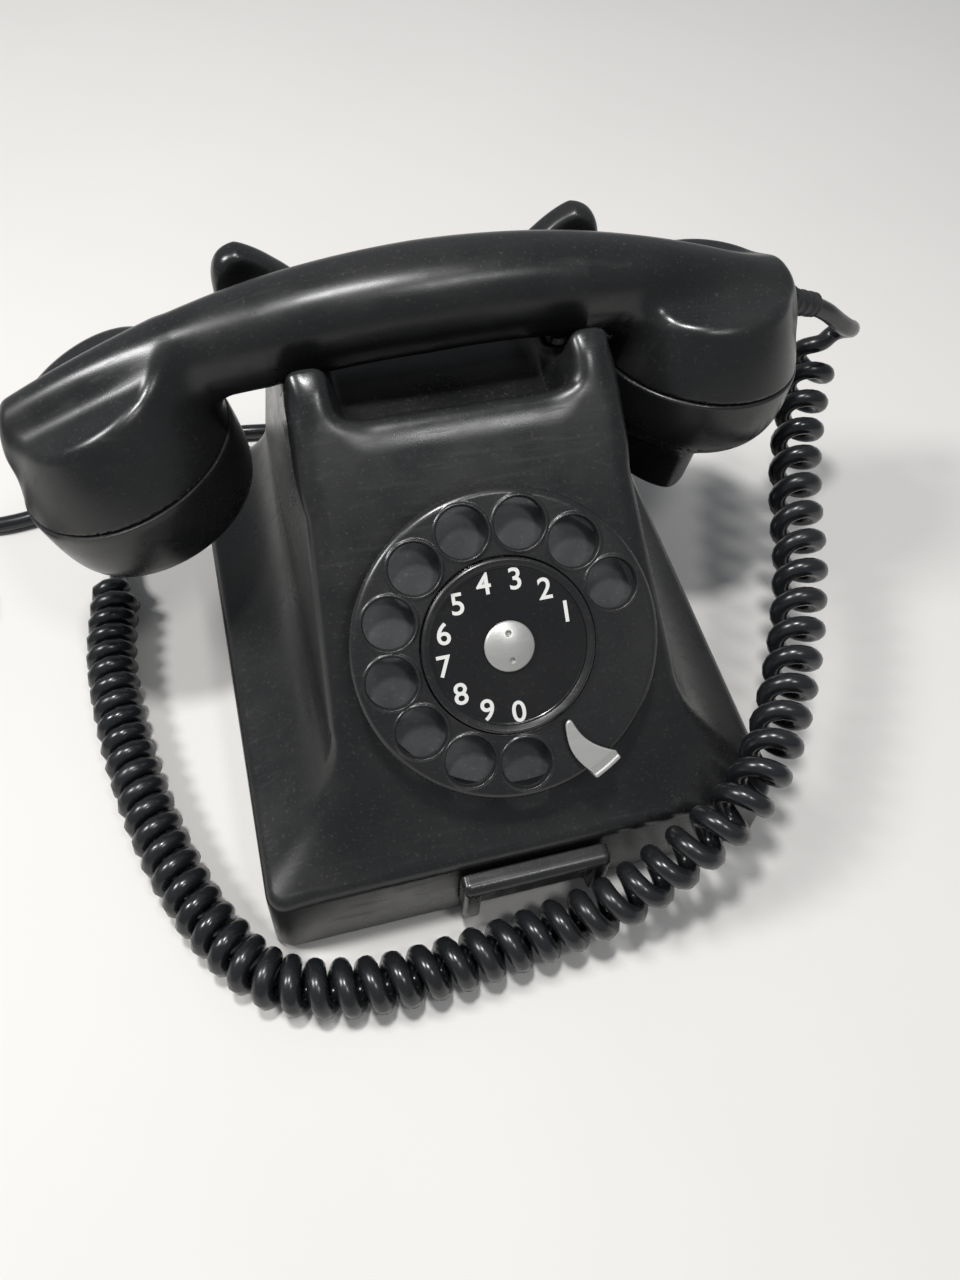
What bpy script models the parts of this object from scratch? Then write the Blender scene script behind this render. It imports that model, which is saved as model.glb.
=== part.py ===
"""Rotary desk telephone in black bakelite, with a curly handset cord and a line cord.

Run in Blender 4.5: blender --background --python part.py
Units are metres, +Z is up and +X is to the right of a person who faces the dial.
The origin is on the table under the middle of the housing.  Each piece is one
closed object; moving pieces have their origin on the axis that they move about.
"""
import math

import bmesh
import bpy
import numpy as np
from mathutils import Matrix, Vector

# ---------------------------------------------------------------- driving sizes

# Gaps between pieces
SEAT_GAP = 0.0003            # between pieces that touch when assembled
RUN_GAP = 0.0006             # round a piece that slides or turns

# Housing: plinth, flared flanks, sloping face and cradle
PLINTH_WIDTH = 0.152         # across the top edge of the plinth
PLINTH_DEPTH = 0.169
PLINTH_TOP = 0.0326          # height of the plinth's top edge above the table
PLINTH_DRAFT = 0.0010        # how much wider each side is at the rim than at the top edge
PLINTH_CORNER = 0.0060
RIM_HEIGHT = 0.0025          # lower rim above the table
LEDGE_Y = 0.0102             # top edge of the sloping face
LEDGE_HEIGHT = 0.1155
NECK_WIDTH = 0.087           # across the flanks at the ledge
NECK_FOOT_WIDTH = 0.101      # across the flanks where the flare begins
NECK_FOOT_HEIGHT = 0.060
NECK_REAR_Y = 0.0730         # rear wall at the ledge's height
REAR_FOOT_Y = 0.0765         # rear wall where the flare begins
RIDGE_RADIUS = 0.0050
WALL = 0.0035                # thickness of the moulding
APRON_LENGTH = 0.0085        # shallow strip between the sloping face and the plinth
APRON_RISE = 0.00637
EDGE_SOFTNESS = 0.0014       # rounding of the plinth's and the ledge's edges

# Dial
DIAL_Y = -0.0457             # middle of the finger wheel's front face
WHEEL_STANDOFF = 0.01206     # wheel's front face above the sloping face
WHEEL_RADIUS = 0.0419
WHEEL_THICKNESS = 0.0028
WHEEL_EDGE = 0.0009
FINGER_RING_RADIUS = 0.0325  # circle through the finger holes
FINGER_HOLE_RADIUS = 0.00675
HOLE_STEP = math.radians(360 / 13)
FIRST_HOLE = math.radians(20.4)
HOLE_COUNT = 10
LABEL_RADIUS = 0.0236        # black disc that carries the digits
LABEL_THICKNESS = 0.0012
BEZEL_WIDTH = 0.0014
BEZEL_HEIGHT = 0.0016
CAP_RADIUS = 0.0071
CAP_HEIGHT = 0.0024
SPANNER_HOLE_RADIUS = 0.0007
SPANNER_SPACING = 0.0072
DIAL_CASE_RADIUS = 0.0368
DIAL_CASE_WALL = 0.0022
DIAL_CASE_LIP = 0.0016
BACK_DISC_DEPTH = 0.0072     # from the wheel's front face to the grey disc behind it
BACK_DISC_THICKNESS = 0.0012
MOVEMENT_DEPTH = 0.0290
GEAR_THICKNESS = 0.0016
GEAR_TOOTH = 0.0014
SPRING_HEIGHT = 0.0052
PLATE_THICKNESS = 0.0015
GOVERNOR_SHAFT_RADIUS = 0.0011
GOVERNOR_DRUM_RADIUS = 0.0046
GOVERNOR_HALF_LENGTH = 0.0135
WORM_RADIUS = 0.0020
CONTACT_WIDTH = 0.0100
CONTACT_HEIGHT = 0.0052
DIAL_TURN = math.radians(320)
SPINDLE_RADIUS = 0.0028
STOP_ANGLE = math.radians(-61)
STOP_REACH = 0.0262          # how near to the spindle the finger stop's tip comes
STOP_THICKNESS = 0.0012
STOP_CLEARANCE = 0.0016

# Cradle
HANDLE_Y = 0.0423            # the handle lies across the cradle along X
SADDLE_RADIUS = 0.0178
SADDLE_RISE = 0.0077         # saddle's centre above the ledge
SADDLE_GAP = 0.0046          # handle above the saddle, where the plungers carry it
TROUGH_HALF_WIDTH = 0.0305
TROUGH_DEPTH = 0.0150        # below the ledge
FRONT_PRONG_RISE = 0.0085    # top above the ledge
FRONT_PRONG_X = 0.0378
FRONT_PRONG_WIDTH = 0.0126
FRONT_PRONG_CROWN = 0.0050
FRONT_PRONG_DEPTH = 0.0105
REAR_PRONG_RISE = 0.0105
REAR_PRONG_X = 0.0480
REAR_PRONG_WIDTH = 0.0200
REAR_PRONG_THICKNESS = 0.0080
TROUGH_SETBACK = 0.0055      # trough's front wall behind the ledge's edge
TROUGH_BEND = 0.0080
PLUNGER_X = 0.0378
PLUNGER_RADIUS = 0.0034
PLUNGER_TRAVEL = 0.0050

# Handset
HANDLE_ARCH = 0.244          # radius of the handle's back, seen from the front
HANDLE_END = 0.1165          # half the handset's length
HANDLE_HALF_WIDTH = 0.0147
HANDLE_THICKNESS = 0.0285
CUP_RADIUS = 0.0318
CUP_HEIGHT = 0.0215
CAP_WALL = 0.0026
EAR_X = -0.0885
EAR_DROP = 0.0505            # from the handle's top to the ear cup's seam
EAR_TILT = math.radians(11)
EAR_CAP_DEPTH = 0.0215
MOUTH_X = 0.0855
MOUTH_DROP = 0.0435
MOUTH_TILT = math.radians(4)
MOUTH_CAP_DEPTH = 0.0235
CAP_FLARE = 0.0005           # how much wider a cap's rim is than its cup
CAPSULE_RADIUS = 0.0268      # receiver and transmitter
CAPSULE_BELOW = 0.0075       # capsule below the seam
CAPSULE_ABOVE = 0.0130
SOUND_HOLE_RADIUS = 0.0016
SOUND_RING_RADIUS = 0.0075
HORN_LENGTH = 0.0160
HORN_HALF_WIDTH = 0.0150
HORN_HALF_DEPTH = 0.0215
HORN_SHIFT = -0.0080         # horn's middle from the cap's middle
HANDSET_LIFT = 0.100

# Base and feet
BASE_PLATE_HEIGHT = 0.0115
BASE_PLATE_THICKNESS = 0.0020
FOOT_RADIUS = 0.0085
FOOT_INSET = 0.0165
SCREW_RADIUS = 0.0022

# Ringer, on the base plate
GONG_RADIUS = 0.0230
GONG_X = 0.0300
GONG_Y = 0.0500
GONG_RISE = 0.0080           # rim above the base plate
GONG_HEIGHT = 0.0120
GONG_SHEET = 0.0014
POST_RADIUS = 0.0040
RINGER_COIL_RADIUS = 0.0095
RINGER_COIL_LENGTH = 0.0250
RINGER_COIL_X = 0.0150
RINGER_Y = 0.0150
RINGER_FRAME_HEIGHT = 0.0036
PIVOT_RADIUS = 0.0014
HAMMER_RADIUS = 0.0036
HAMMER_LENGTH = 0.0212

# Speech circuit, on the base plate
CAPACITOR_WIDTH = 0.0280
CAPACITOR_HEIGHT = 0.0220
CAPACITOR_X = -0.0445
CAPACITOR_Y = -0.0040
INDUCTION_RADIUS = 0.0130
INDUCTION_LENGTH = 0.0480
INDUCTION_X = 0.0440
INDUCTION_Y = -0.0060
TERMINAL_LENGTH = 0.0440
TERMINAL_WIDTH = 0.0140
TERMINAL_HEIGHT = 0.0075
TERMINAL_Y = -0.0520

# Switch worked by the plungers
SWITCH_WIDTH = 0.0160
SWITCH_LENGTH = 0.0180
SWITCH_HEIGHT = 0.0100
YOKE_THICKNESS = 0.0030
YOKE_WIDTH = 0.0080
HANGER_SHEET = 0.0015

# Address tray under the base plate
TRAY_HEIGHT = 0.0078
TRAY_THICKNESS = 0.0014
TRAY_HALF_WIDTH = 0.0340
TRAY_LENGTH = 0.1200
PULL_WIDTH = 0.0440
PULL_TOP = 0.0300
PULL_BOTTOM = 0.0075
PULL_REACH = 0.0056
PULL_WALL = 0.0050

# Cords
WIRE_DIAMETER = 0.0060
CURLY_DIAMETER = 0.0175
LINE_DIAMETER = 0.0058
GLAND_LENGTH = 0.0090
BOOT_LENGTH = 0.0120
LINE_EXIT_X = -0.0250
CURLY_EXIT_X = -0.0580
CORD_EXIT_HEIGHT = 0.0190
COIL_X = -0.2060             # middle of the line cord's storage coil
COIL_TURN_RADIUS = 0.0320
COIL_BAND = 0.0174           # width of the wound bundle: three turns side by side
COIL_LAYERS = 0.0116         # height of the wound bundle: two layers
TIE_THICKNESS = 0.0009
TIE_WIDTH = 0.0120
PLUG_LENGTH = 0.0300
PLUG_WIDTH = 0.0250
PLUG_HEIGHT = 0.0150
PIN_RADIUS = 0.0016
PIN_LENGTH = 0.0152
PIN_SPACING = 0.0140         # across the plug
PIN_ROW_SPACING = 0.0060

# Materials: colour, roughness, metallic
FINISHES = {
    "bakelite": ((0.012, 0.012, 0.013), 0.32, 0.0),
    "enamel": ((0.010, 0.010, 0.011), 0.22, 0.0),
    "grey_metal": ((0.42, 0.42, 0.40), 0.42, 0.6),
    "steel": ((0.45, 0.45, 0.46), 0.35, 1.0),
    "brass": ((0.60, 0.42, 0.16), 0.35, 1.0),
    "grey_plate": ((0.16, 0.17, 0.17), 0.50, 0.2),
    "rubber": ((0.015, 0.015, 0.016), 0.45, 0.0),
    "fibre": ((0.16, 0.06, 0.03), 0.70, 0.0),
    "copper": ((0.50, 0.20, 0.08), 0.40, 0.9),
}

# ------------------------------------------------------------- derived frames

FRONT_Y = -PLINTH_DEPTH / 2
REAR_Y = PLINTH_DEPTH / 2
DIAL_CASE_INNER = DIAL_CASE_RADIUS - DIAL_CASE_WALL
GEAR_RADIUS = DIAL_CASE_INNER * 0.52
SPRING_RADIUS = DIAL_CASE_INNER * 0.30
FACE_ANGLE = math.atan2(LEDGE_HEIGHT - PLINTH_TOP - APRON_RISE, LEDGE_Y - FRONT_Y - APRON_LENGTH)
OUT_OF_FACE = Vector((0, -math.sin(FACE_ANGLE), math.cos(FACE_ANGLE)))
SADDLE_CENTRE_HEIGHT = LEDGE_HEIGHT + SADDLE_RISE
FRONT_PRONG_HEIGHT = LEDGE_HEIGHT + FRONT_PRONG_RISE
REAR_PRONG_HEIGHT = LEDGE_HEIGHT + REAR_PRONG_RISE
HANDLE_TOP = SADDLE_CENTRE_HEIGHT - SADDLE_RADIUS + SADDLE_GAP + HANDLE_THICKNESS
EAR_SEAM_HEIGHT = HANDLE_TOP - EAR_DROP
MOUTH_SEAM_HEIGHT = HANDLE_TOP - MOUTH_DROP
BASE_PLATE_TOP = BASE_PLATE_HEIGHT + BASE_PLATE_THICKNESS
ROUND = 32                   # facets of a large round piece
SMALL_ROUND = 16


def face_height(y):
    """Height of the sloping face above the point y."""
    return LEDGE_HEIGHT - (LEDGE_Y - y) * math.tan(FACE_ANGLE)


DIAL_CENTRE = Vector((0, DIAL_Y, face_height(DIAL_Y) + WHEEL_STANDOFF / math.cos(FACE_ANGLE)))


# -------------------------------------------------------------- mesh helpers

def clear_scene():
    for item in list(bpy.data.objects):
        bpy.data.objects.remove(item, do_unlink=True)


def finish(name):
    """Material of one finish, made the first time that it is asked for."""
    if name in bpy.data.materials:
        return bpy.data.materials[name]
    colour, roughness, metallic = FINISHES[name]
    material = bpy.data.materials.new(name)
    material.use_nodes = True
    shader = material.node_tree.nodes["Principled BSDF"]
    shader.inputs["Base Color"].default_value = (*colour, 1)
    shader.inputs["Roughness"].default_value = roughness
    shader.inputs["Metallic"].default_value = metallic
    material.diffuse_color = (*colour, 1)
    return material


def add_empty(name, location=(0, 0, 0), rotation=(0, 0, 0), parent=None):
    empty = bpy.data.objects.new(name, None)
    bpy.context.collection.objects.link(empty)
    empty.location = location
    empty.rotation_euler = rotation
    empty.parent = parent
    return empty


def add_piece(name, mesh, look, parent=None, location=(0, 0, 0), rotation=(0, 0, 0)):
    """Object of one mesh, smooth where its facets meet at a shallow angle."""
    piece = bpy.data.objects.new(name, mesh)
    bpy.context.collection.objects.link(piece)
    mesh.shade_smooth()
    mesh.set_sharp_from_angle(angle=math.radians(35))
    mesh.materials.append(finish(look))
    piece.parent = parent
    piece.location = location
    piece.rotation_euler = rotation
    return piece


def to_mesh(bm, name="shape"):
    mesh = bpy.data.meshes.new(name)
    bm.to_mesh(mesh)
    bm.free()
    return mesh


def loft(rings):
    """Closed solid through rings of equal point counts, listed from bottom to top."""
    bm = bmesh.new()
    rows = [[bm.verts.new(point) for point in ring] for ring in rings]
    for low, high in zip(rows, rows[1:]):
        for i, vert in enumerate(low):
            j = (i + 1) % len(low)
            bm.faces.new((vert, low[j], high[j], high[i]))
    bm.faces.new(list(reversed(rows[0])))
    bm.faces.new(rows[-1])
    bmesh.ops.recalc_face_normals(bm, faces=bm.faces)
    return to_mesh(bm)


def turned(profile, steps=ROUND):
    """Solid of revolution about Z; profile points are (radius, height), a closed outline."""
    bm = bmesh.new()
    columns = []
    for radius, height in profile:
        if radius < 1e-7:
            columns.append([bm.verts.new((0, 0, height))])
            continue
        turn = [2 * math.pi * i / steps for i in range(steps)]
        columns.append([bm.verts.new((radius * math.cos(a), radius * math.sin(a), height))
                        for a in turn])
    for one, two in zip(columns, columns[1:] + columns[:1]):
        if len(one) == 1 and len(two) == 1:
            continue
        for i in range(steps):
            j = (i + 1) % steps
            corners = [one[i % len(one)], one[j % len(one)], two[j % len(two)], two[i % len(two)]]
            bm.faces.new(list(dict.fromkeys(corners)))
    bmesh.ops.recalc_face_normals(bm, faces=bm.faces)
    return to_mesh(bm)


def disc(radius, low, high, bore=0.0, chamfer=0.0, steps=ROUND):
    """Plain disc or ring between two heights, with an optional chamfer at its outer edges."""
    outer = [(radius - chamfer, low), (radius, low + chamfer),
             (radius, high - chamfer), (radius - chamfer, high)]
    if chamfer == 0:
        outer = [(radius, low), (radius, high)]
    return turned([(bore, low), *outer, (bore, high)], steps)


def block(size, centre=(0, 0, 0), bevel=0.0):
    """Box with optional rounded edges."""
    bm = bmesh.new()
    bmesh.ops.create_cube(bm, size=1, matrix=Matrix.Translation(centre) @ Matrix.Diagonal((*size, 1)))
    if bevel:
        bmesh.ops.bevel(bm, geom=bm.edges, offset=bevel, segments=2, profile=0.5, affect="EDGES")
    return to_mesh(bm)


def prism(outline, low, high, axis="Z"):
    """Outline of (u, v) points pulled along an axis: X takes (y, z), Y takes (x, z), Z takes (x, y)."""
    place = {"X": lambda u, v, w: (w, u, v), "Y": lambda u, v, w: (u, w, v), "Z": lambda u, v, w: (u, v, w)}
    return loft([[place[axis](u, v, w) for u, v in outline] for w in (low, high)])


def rod(start, end, radius, steps=SMALL_ROUND, end_radius=None):
    """Round rod between two points, tapered when its end has another radius."""
    start, end = Vector(start), Vector(end)
    turn = (end - start).to_track_quat("Z", "Y").to_matrix().to_4x4()
    mesh = turned([(0, 0), (radius, 0), (end_radius or radius, (end - start).length),
                   (0, (end - start).length)], steps)
    mesh.transform(Matrix.Translation(start) @ turn)
    return mesh


def cutter(name, mesh, parent=None, location=(0, 0, 0), rotation=(0, 0, 0)):
    """Shape that only cuts or joins another, so it isn't a piece itself."""
    tool = bpy.data.objects.new(name, mesh)
    bpy.context.collection.objects.link(tool)
    tool.parent = parent
    tool.location = location
    tool.rotation_euler = rotation
    tool.hide_render = True
    tool.display_type = "WIRE"
    return tool


def combine(piece, tool, operation="DIFFERENCE"):
    step = piece.modifiers.new(tool.name, "BOOLEAN")
    step.operation = operation
    step.object = tool
    step.solver = "EXACT"


def arc(centre, radius, start, end, count):
    """Points of a round stretch, angles in degrees."""
    angles = np.radians(np.linspace(start, end, count))
    return [(centre[0] + radius * math.cos(a), centre[1] + radius * math.sin(a)) for a in angles]


# ------------------------------------------------------------------- housing

FLARE_POWER = 2.05
CORNER_POINTS = 4


def flare(height, top_value, foot_value):
    """Concave sweep from the plinth's edge in to the foot of the neck."""
    share = (height - PLINTH_TOP) / (NECK_FOOT_HEIGHT - PLINTH_TOP)
    return foot_value + (top_value - foot_value) * (1 - share) ** FLARE_POWER


def section_limits(height):
    """Half width, front y and rear y of the housing at a height."""
    skirt = PLINTH_DRAFT * max(0.0, PLINTH_TOP - height) / (PLINTH_TOP - RIM_HEIGHT)
    if height <= PLINTH_TOP:
        return PLINTH_WIDTH / 2 + skirt, FRONT_Y - skirt, REAR_Y + skirt
    apron_top = face_height(FRONT_Y + APRON_LENGTH)
    if height < apron_top:
        front = FRONT_Y + APRON_LENGTH * (height - PLINTH_TOP) / (apron_top - PLINTH_TOP)
    else:
        front = LEDGE_Y - (LEDGE_HEIGHT - height) / math.tan(FACE_ANGLE)
    if height < NECK_FOOT_HEIGHT:
        half = flare(height, PLINTH_WIDTH / 2, NECK_FOOT_WIDTH / 2)
        return half, front, flare(height, REAR_Y, REAR_FOOT_Y)
    share = (height - NECK_FOOT_HEIGHT) / (LEDGE_HEIGHT - NECK_FOOT_HEIGHT)
    half = (NECK_FOOT_WIDTH + (NECK_WIDTH - NECK_FOOT_WIDTH) * share) / 2
    return half, front, REAR_FOOT_Y + (NECK_REAR_Y - REAR_FOOT_Y) * share


def section_ring(height, half, front, rear, corner):
    """Rounded rectangle at a height, points anticlockwise from above."""
    centres = [(half - corner, rear - corner, 0), (-half + corner, rear - corner, 90),
               (-half + corner, front + corner, 180), (half - corner, front + corner, 270)]
    ring = []
    for x, y, start in centres:
        ring += [(u, v, height) for u, v in arc((x, y), corner, start, start + 90, CORNER_POINTS)]
    return ring


def housing_form(inset=0.0, lift=0.0, floor=RIM_HEIGHT, ceiling=LEDGE_HEIGHT):
    """Outer form of the housing, or its hollow when inset and lift are given."""
    edge = EDGE_SOFTNESS
    neck_levels = np.linspace(NECK_FOOT_HEIGHT, ceiling - edge, 3)
    flare_levels = np.linspace(PLINTH_TOP, NECK_FOOT_HEIGHT, 9)[:-1]
    levels = [(floor, 0), (PLINTH_TOP - edge - lift, 0), (PLINTH_TOP - edge * 0.35 - lift, edge * 0.3)]
    levels += [(height, edge * (1 - i) if i < 1 else 0) for i, height in enumerate(flare_levels - lift)]
    levels += [(height, 0) for height in neck_levels[:-1] - lift]
    levels += [(ceiling - edge, 0), (ceiling - edge * 0.35, edge * 0.3), (ceiling, edge)]
    rings = []
    for height, trim in levels:
        half, front, rear = section_limits(min(height + lift, LEDGE_HEIGHT))
        face_inset = inset / math.sin(FACE_ANGLE) if height > PLINTH_TOP else inset
        corner = PLINTH_CORNER if height <= PLINTH_TOP else RIDGE_RADIUS
        rings.append(section_ring(height, half - inset - trim, front + face_inset + trim,
                                  rear - inset - trim, corner))
    return loft(rings)


def front_prong():
    """Finger that rises from the face's edge and holds the handle from the front."""
    crown = FRONT_PRONG_CROWN
    foot_y = LEDGE_Y - FRONT_PRONG_CROWN * 1.2
    tip_y = LEDGE_Y + (FRONT_PRONG_HEIGHT - LEDGE_HEIGHT) / math.tan(FACE_ANGLE)
    back_y = tip_y + FRONT_PRONG_DEPTH
    outline = [(foot_y, face_height(foot_y) - WALL), (back_y + WALL, LEDGE_HEIGHT - 3.4 * WALL)]
    outline += [(back_y, FRONT_PRONG_HEIGHT - crown)]
    outline += arc((back_y - crown, FRONT_PRONG_HEIGHT - crown), crown, 0, 90, 5)[1:]
    nose = crown * 0.6
    outline += arc((tip_y + nose * 0.75, FRONT_PRONG_HEIGHT - nose), nose, 100, 130, 3)
    outline += [(foot_y, face_height(foot_y) + SEAT_GAP)]
    return prism(outline, -FRONT_PRONG_WIDTH / 2, FRONT_PRONG_WIDTH / 2, "X")


def rear_prong(side):
    """Leaf-shaped ear behind the handle, leaning outward."""
    half = REAR_PRONG_WIDTH / 2
    root = PLUNGER_X - REAR_PRONG_X
    low = LEDGE_HEIGHT - 0.014
    top = REAR_PRONG_HEIGHT
    outline = [(root - half * 0.75, low), (root + half * 0.62, low), (half * 0.95, top - half * 1.15)]
    outline += arc((0.0, top - half * 0.80), half * 0.80, 15, 150, 8)
    outline += [(-half, top - half * 0.9)]
    outline = [(side * u, v) for u, v in outline]
    return prism(outline, -REAR_PRONG_THICKNESS / 2, REAR_PRONG_THICKNESS / 2, "Y")


def make_housing():
    housing = add_piece("housing", housing_form(), "bakelite")
    for side, hand in ((-1, "left"), (1, "right")):
        front = cutter(f"front_prong_{hand}_form", front_prong(), location=(side * FRONT_PRONG_X, 0, 0))
        combine(housing, front, "UNION")
        rear_y = NECK_REAR_Y - REAR_PRONG_THICKNESS / 2 - RUN_GAP
        rear = cutter(f"rear_prong_{hand}_form", rear_prong(side), location=(side * REAR_PRONG_X, rear_y, 0))
        combine(housing, rear, "UNION")
    saddle = rod((-PLINTH_WIDTH, HANDLE_Y, SADDLE_CENTRE_HEIGHT), (PLINTH_WIDTH, HANDLE_Y, SADDLE_CENTRE_HEIGHT),
                 SADDLE_RADIUS, 48)
    combine(housing, cutter("saddle_cutter", saddle))
    trough_low = LEDGE_HEIGHT - TROUGH_DEPTH
    trough_front, trough_rear = LEDGE_Y + TROUGH_SETBACK, NECK_REAR_Y - TROUGH_SETBACK * 1.1
    bend = TROUGH_BEND
    trough = [(trough_front, LEDGE_HEIGHT + WALL)]
    trough += arc((trough_front + bend, trough_low + bend), bend, 180, 270, 5)
    trough += arc((trough_rear - bend, trough_low + bend), bend, 270, 360, 5)
    trough += [(trough_rear, LEDGE_HEIGHT + WALL)]
    combine(housing, cutter("trough_cutter", prism(trough, -TROUGH_HALF_WIDTH, TROUGH_HALF_WIDTH, "X")))
    hollow = housing_form(WALL, WALL * 0.5, -RIM_HEIGHT, trough_low - WALL)
    combine(housing, cutter("hollow_cutter", hollow))
    for x, y in BOSS_PLACES:
        boss = rod((x, y, BASE_PLATE_TOP + SEAT_GAP), (x, y, BOSS_TOP), BOSS_RADIUS)
        combine(housing, cutter(f"boss_{x:+.3f}_{y:+.3f}", boss), "UNION")
        hole = rod((x, y, RIM_HEIGHT), (x, y, BOSS_TOP - WALL), SCREW_RADIUS * 0.7 + SEAT_GAP)
        combine(housing, cutter(f"boss_hole_{x:+.3f}_{y:+.3f}", hole))
    inner, outer = DIAL_CENTRE - OUT_OF_FACE * (WHEEL_STANDOFF + MOVEMENT_DEPTH), DIAL_CENTRE
    combine(housing, cutter("dial_bore_cutter", rod(inner, outer, DIAL_CASE_RADIUS + SEAT_GAP, ROUND)))
    for side in (-1, 1):
        well = rod((side * PLUNGER_X, HANDLE_Y, trough_low - 2 * WALL),
                   (side * PLUNGER_X, HANDLE_Y, LEDGE_HEIGHT), PLUNGER_RADIUS + RUN_GAP)
        combine(housing, cutter(f"plunger_well_{side:+d}", well))
    for name, x, radius in CORD_EXITS:
        hole = rod((x, REAR_Y - 3 * WALL, CORD_EXIT_HEIGHT), (x, REAR_Y + WALL, CORD_EXIT_HEIGHT),
                   radius + SEAT_GAP)
        combine(housing, cutter(f"{name}_hole_cutter", hole))
    slot_height = TRAY_THICKNESS + 2 * RUN_GAP
    slot = block((PULL_WIDTH - 2 * PULL_WALL + 2 * RUN_GAP, 4 * WALL, slot_height + TRAY_HEIGHT),
                 (0, FRONT_Y, (TRAY_HEIGHT + slot_height) / 2))
    combine(housing, cutter("tray_slot_cutter", slot))
    return housing


BOSS_RADIUS = 0.0045
BOSS_TOP = 0.0358
BOSS_X = PLINTH_WIDTH / 2 - 0.0140
BOSS_Y = PLINTH_DEPTH / 2 - 0.0160
BOSS_PLACES = [(sx * BOSS_X, sy * BOSS_Y) for sy in (-1, 1) for sx in (-1, 1)]
CURLY_GLAND_RADIUS = 0.0048
LINE_GLAND_RADIUS = 0.0046
CORD_EXITS = [("curly_gland", CURLY_EXIT_X, CURLY_GLAND_RADIUS), ("line_gland", LINE_EXIT_X, LINE_GLAND_RADIUS)]


def make_base():
    """Plate that closes the housing from below, its feet, its screws and the address tray."""
    half, front, rear = section_limits(BASE_PLATE_HEIGHT)
    inset = WALL + SEAT_GAP
    rings = [section_ring(z, half - inset, front + inset, rear - inset, PLINTH_CORNER)
             for z in (BASE_PLATE_HEIGHT, BASE_PLATE_TOP)]
    plate = add_piece("base_plate", loft(rings), "steel")
    names = ["front_left", "front_right", "rear_left", "rear_right"]
    for name, (x, y) in zip(names, BOSS_PLACES):
        hole = rod((x, y, 0), (x, y, BASE_PLATE_TOP + WALL), SCREW_RADIUS * 0.7 + SEAT_GAP)
        combine(plate, cutter(f"base_screw_hole_{name}", hole))
        head_top = BASE_PLATE_HEIGHT - SEAT_GAP
        shank = SCREW_RADIUS * 0.7
        screw = [(0, head_top - 0.0018), (SCREW_RADIUS * 1.5, head_top - 0.0012), (SCREW_RADIUS * 1.5, head_top),
                 (shank, head_top), (shank, BOSS_TOP - 2 * WALL), (0, BOSS_TOP - 2 * WALL)]
        add_piece(f"base_screw_{name}", turned(screw, SMALL_ROUND), "steel", location=(x, y, 0))
        fx = math.copysign(abs(x) - FOOT_INSET, x)
        foot_top = BASE_PLATE_HEIGHT - SEAT_GAP
        foot = [(0, 0), (FOOT_RADIUS * 0.86, 0), (FOOT_RADIUS, 0.0012), (FOOT_RADIUS, foot_top * 0.6),
                (FOOT_RADIUS * 0.8, foot_top), (0, foot_top)]
        add_piece(f"foot_{name}", turned(foot, SMALL_ROUND), "rubber", location=(fx, y, 0))
    tongue_end = FRONT_Y - PLINTH_DRAFT
    tray = prism([(-TRAY_HALF_WIDTH, FRONT_Y + 2.5 * WALL), (-PULL_WIDTH / 2 + PULL_WALL, FRONT_Y + 2.5 * WALL),
                  (-PULL_WIDTH / 2 + PULL_WALL, tongue_end), (PULL_WIDTH / 2 - PULL_WALL, tongue_end),
                  (PULL_WIDTH / 2 - PULL_WALL, FRONT_Y + 2.5 * WALL), (TRAY_HALF_WIDTH, FRONT_Y + 2.5 * WALL),
                  (TRAY_HALF_WIDTH, FRONT_Y + TRAY_LENGTH), (-TRAY_HALF_WIDTH, FRONT_Y + TRAY_LENGTH)],
                 TRAY_HEIGHT, TRAY_HEIGHT + TRAY_THICKNESS)
    add_piece("address_tray", tray, "steel")
    pull = add_piece("tray_pull", tray_pull(), "enamel")
    combine(pull, cutter("pull_hollow_cutter", pull_hollow()))
    for side, hand in ((-1, "left"), (1, "right")):
        combine(plate, cutter(f"tray_runner_{hand}", tray_runner(side)), "UNION")


def tray_pull():
    """Hooded finger pull with end walls and a hollow underneath."""
    back = FRONT_Y - PLINTH_DRAFT - SEAT_GAP
    front = back - PULL_REACH
    nose = PULL_REACH * 0.55
    outer = [(back, PULL_BOTTOM), (back, PULL_TOP)]
    outer += arc((front + nose, PULL_TOP - nose), nose, 90, 180, 6)
    outer += [(front, PULL_BOTTOM)]
    return prism(outer, -PULL_WIDTH / 2, PULL_WIDTH / 2, "X")


def pull_hollow():
    """Room for the finger, under the hood and between the end walls."""
    back = FRONT_Y - PLINTH_DRAFT - SEAT_GAP
    front = back - PULL_REACH
    sheet = 0.0016
    half = PULL_WIDTH / 2 - PULL_WALL
    outline = [(front - sheet, PULL_BOTTOM - sheet), (back - sheet, PULL_BOTTOM - sheet),
               (back - sheet, PULL_TOP - 2 * sheet), (front - sheet, PULL_TOP - 6 * sheet)]
    return prism(outline, -half, half, "X")


def tray_runner(side):
    """Bent strip, spot welded under the base plate, that carries one edge of the tray."""
    inner = TRAY_HALF_WIDTH - 0.0040
    outer = TRAY_HALF_WIDTH + RUN_GAP
    sheet = 0.0012
    low = TRAY_HEIGHT - RUN_GAP - sheet
    top = BASE_PLATE_HEIGHT + BASE_PLATE_THICKNESS / 2
    outline = [(inner, low), (outer + sheet, low), (outer + sheet, top), (outer, top),
               (outer, low + sheet), (inner, low + sheet)]
    outline = [(side * u, v) for u, v in outline]
    return prism(outline, FRONT_Y + 3 * WALL, FRONT_Y + TRAY_LENGTH, "Y")


# ---------------------------------------------------------------------- dial

def make_dial():
    """Dial case, movement, finger wheel and finger stop, built square to the sloping face."""
    frame = add_empty("dial_frame", DIAL_CENTRE, (FACE_ANGLE, 0, 0))
    make_dial_case(frame)
    wheel_frame = add_empty("dial_spindle_axis", DIAL_CENTRE, (FACE_ANGLE, 0, 0))
    make_finger_wheel(wheel_frame)
    make_movement(frame, wheel_frame)


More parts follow.
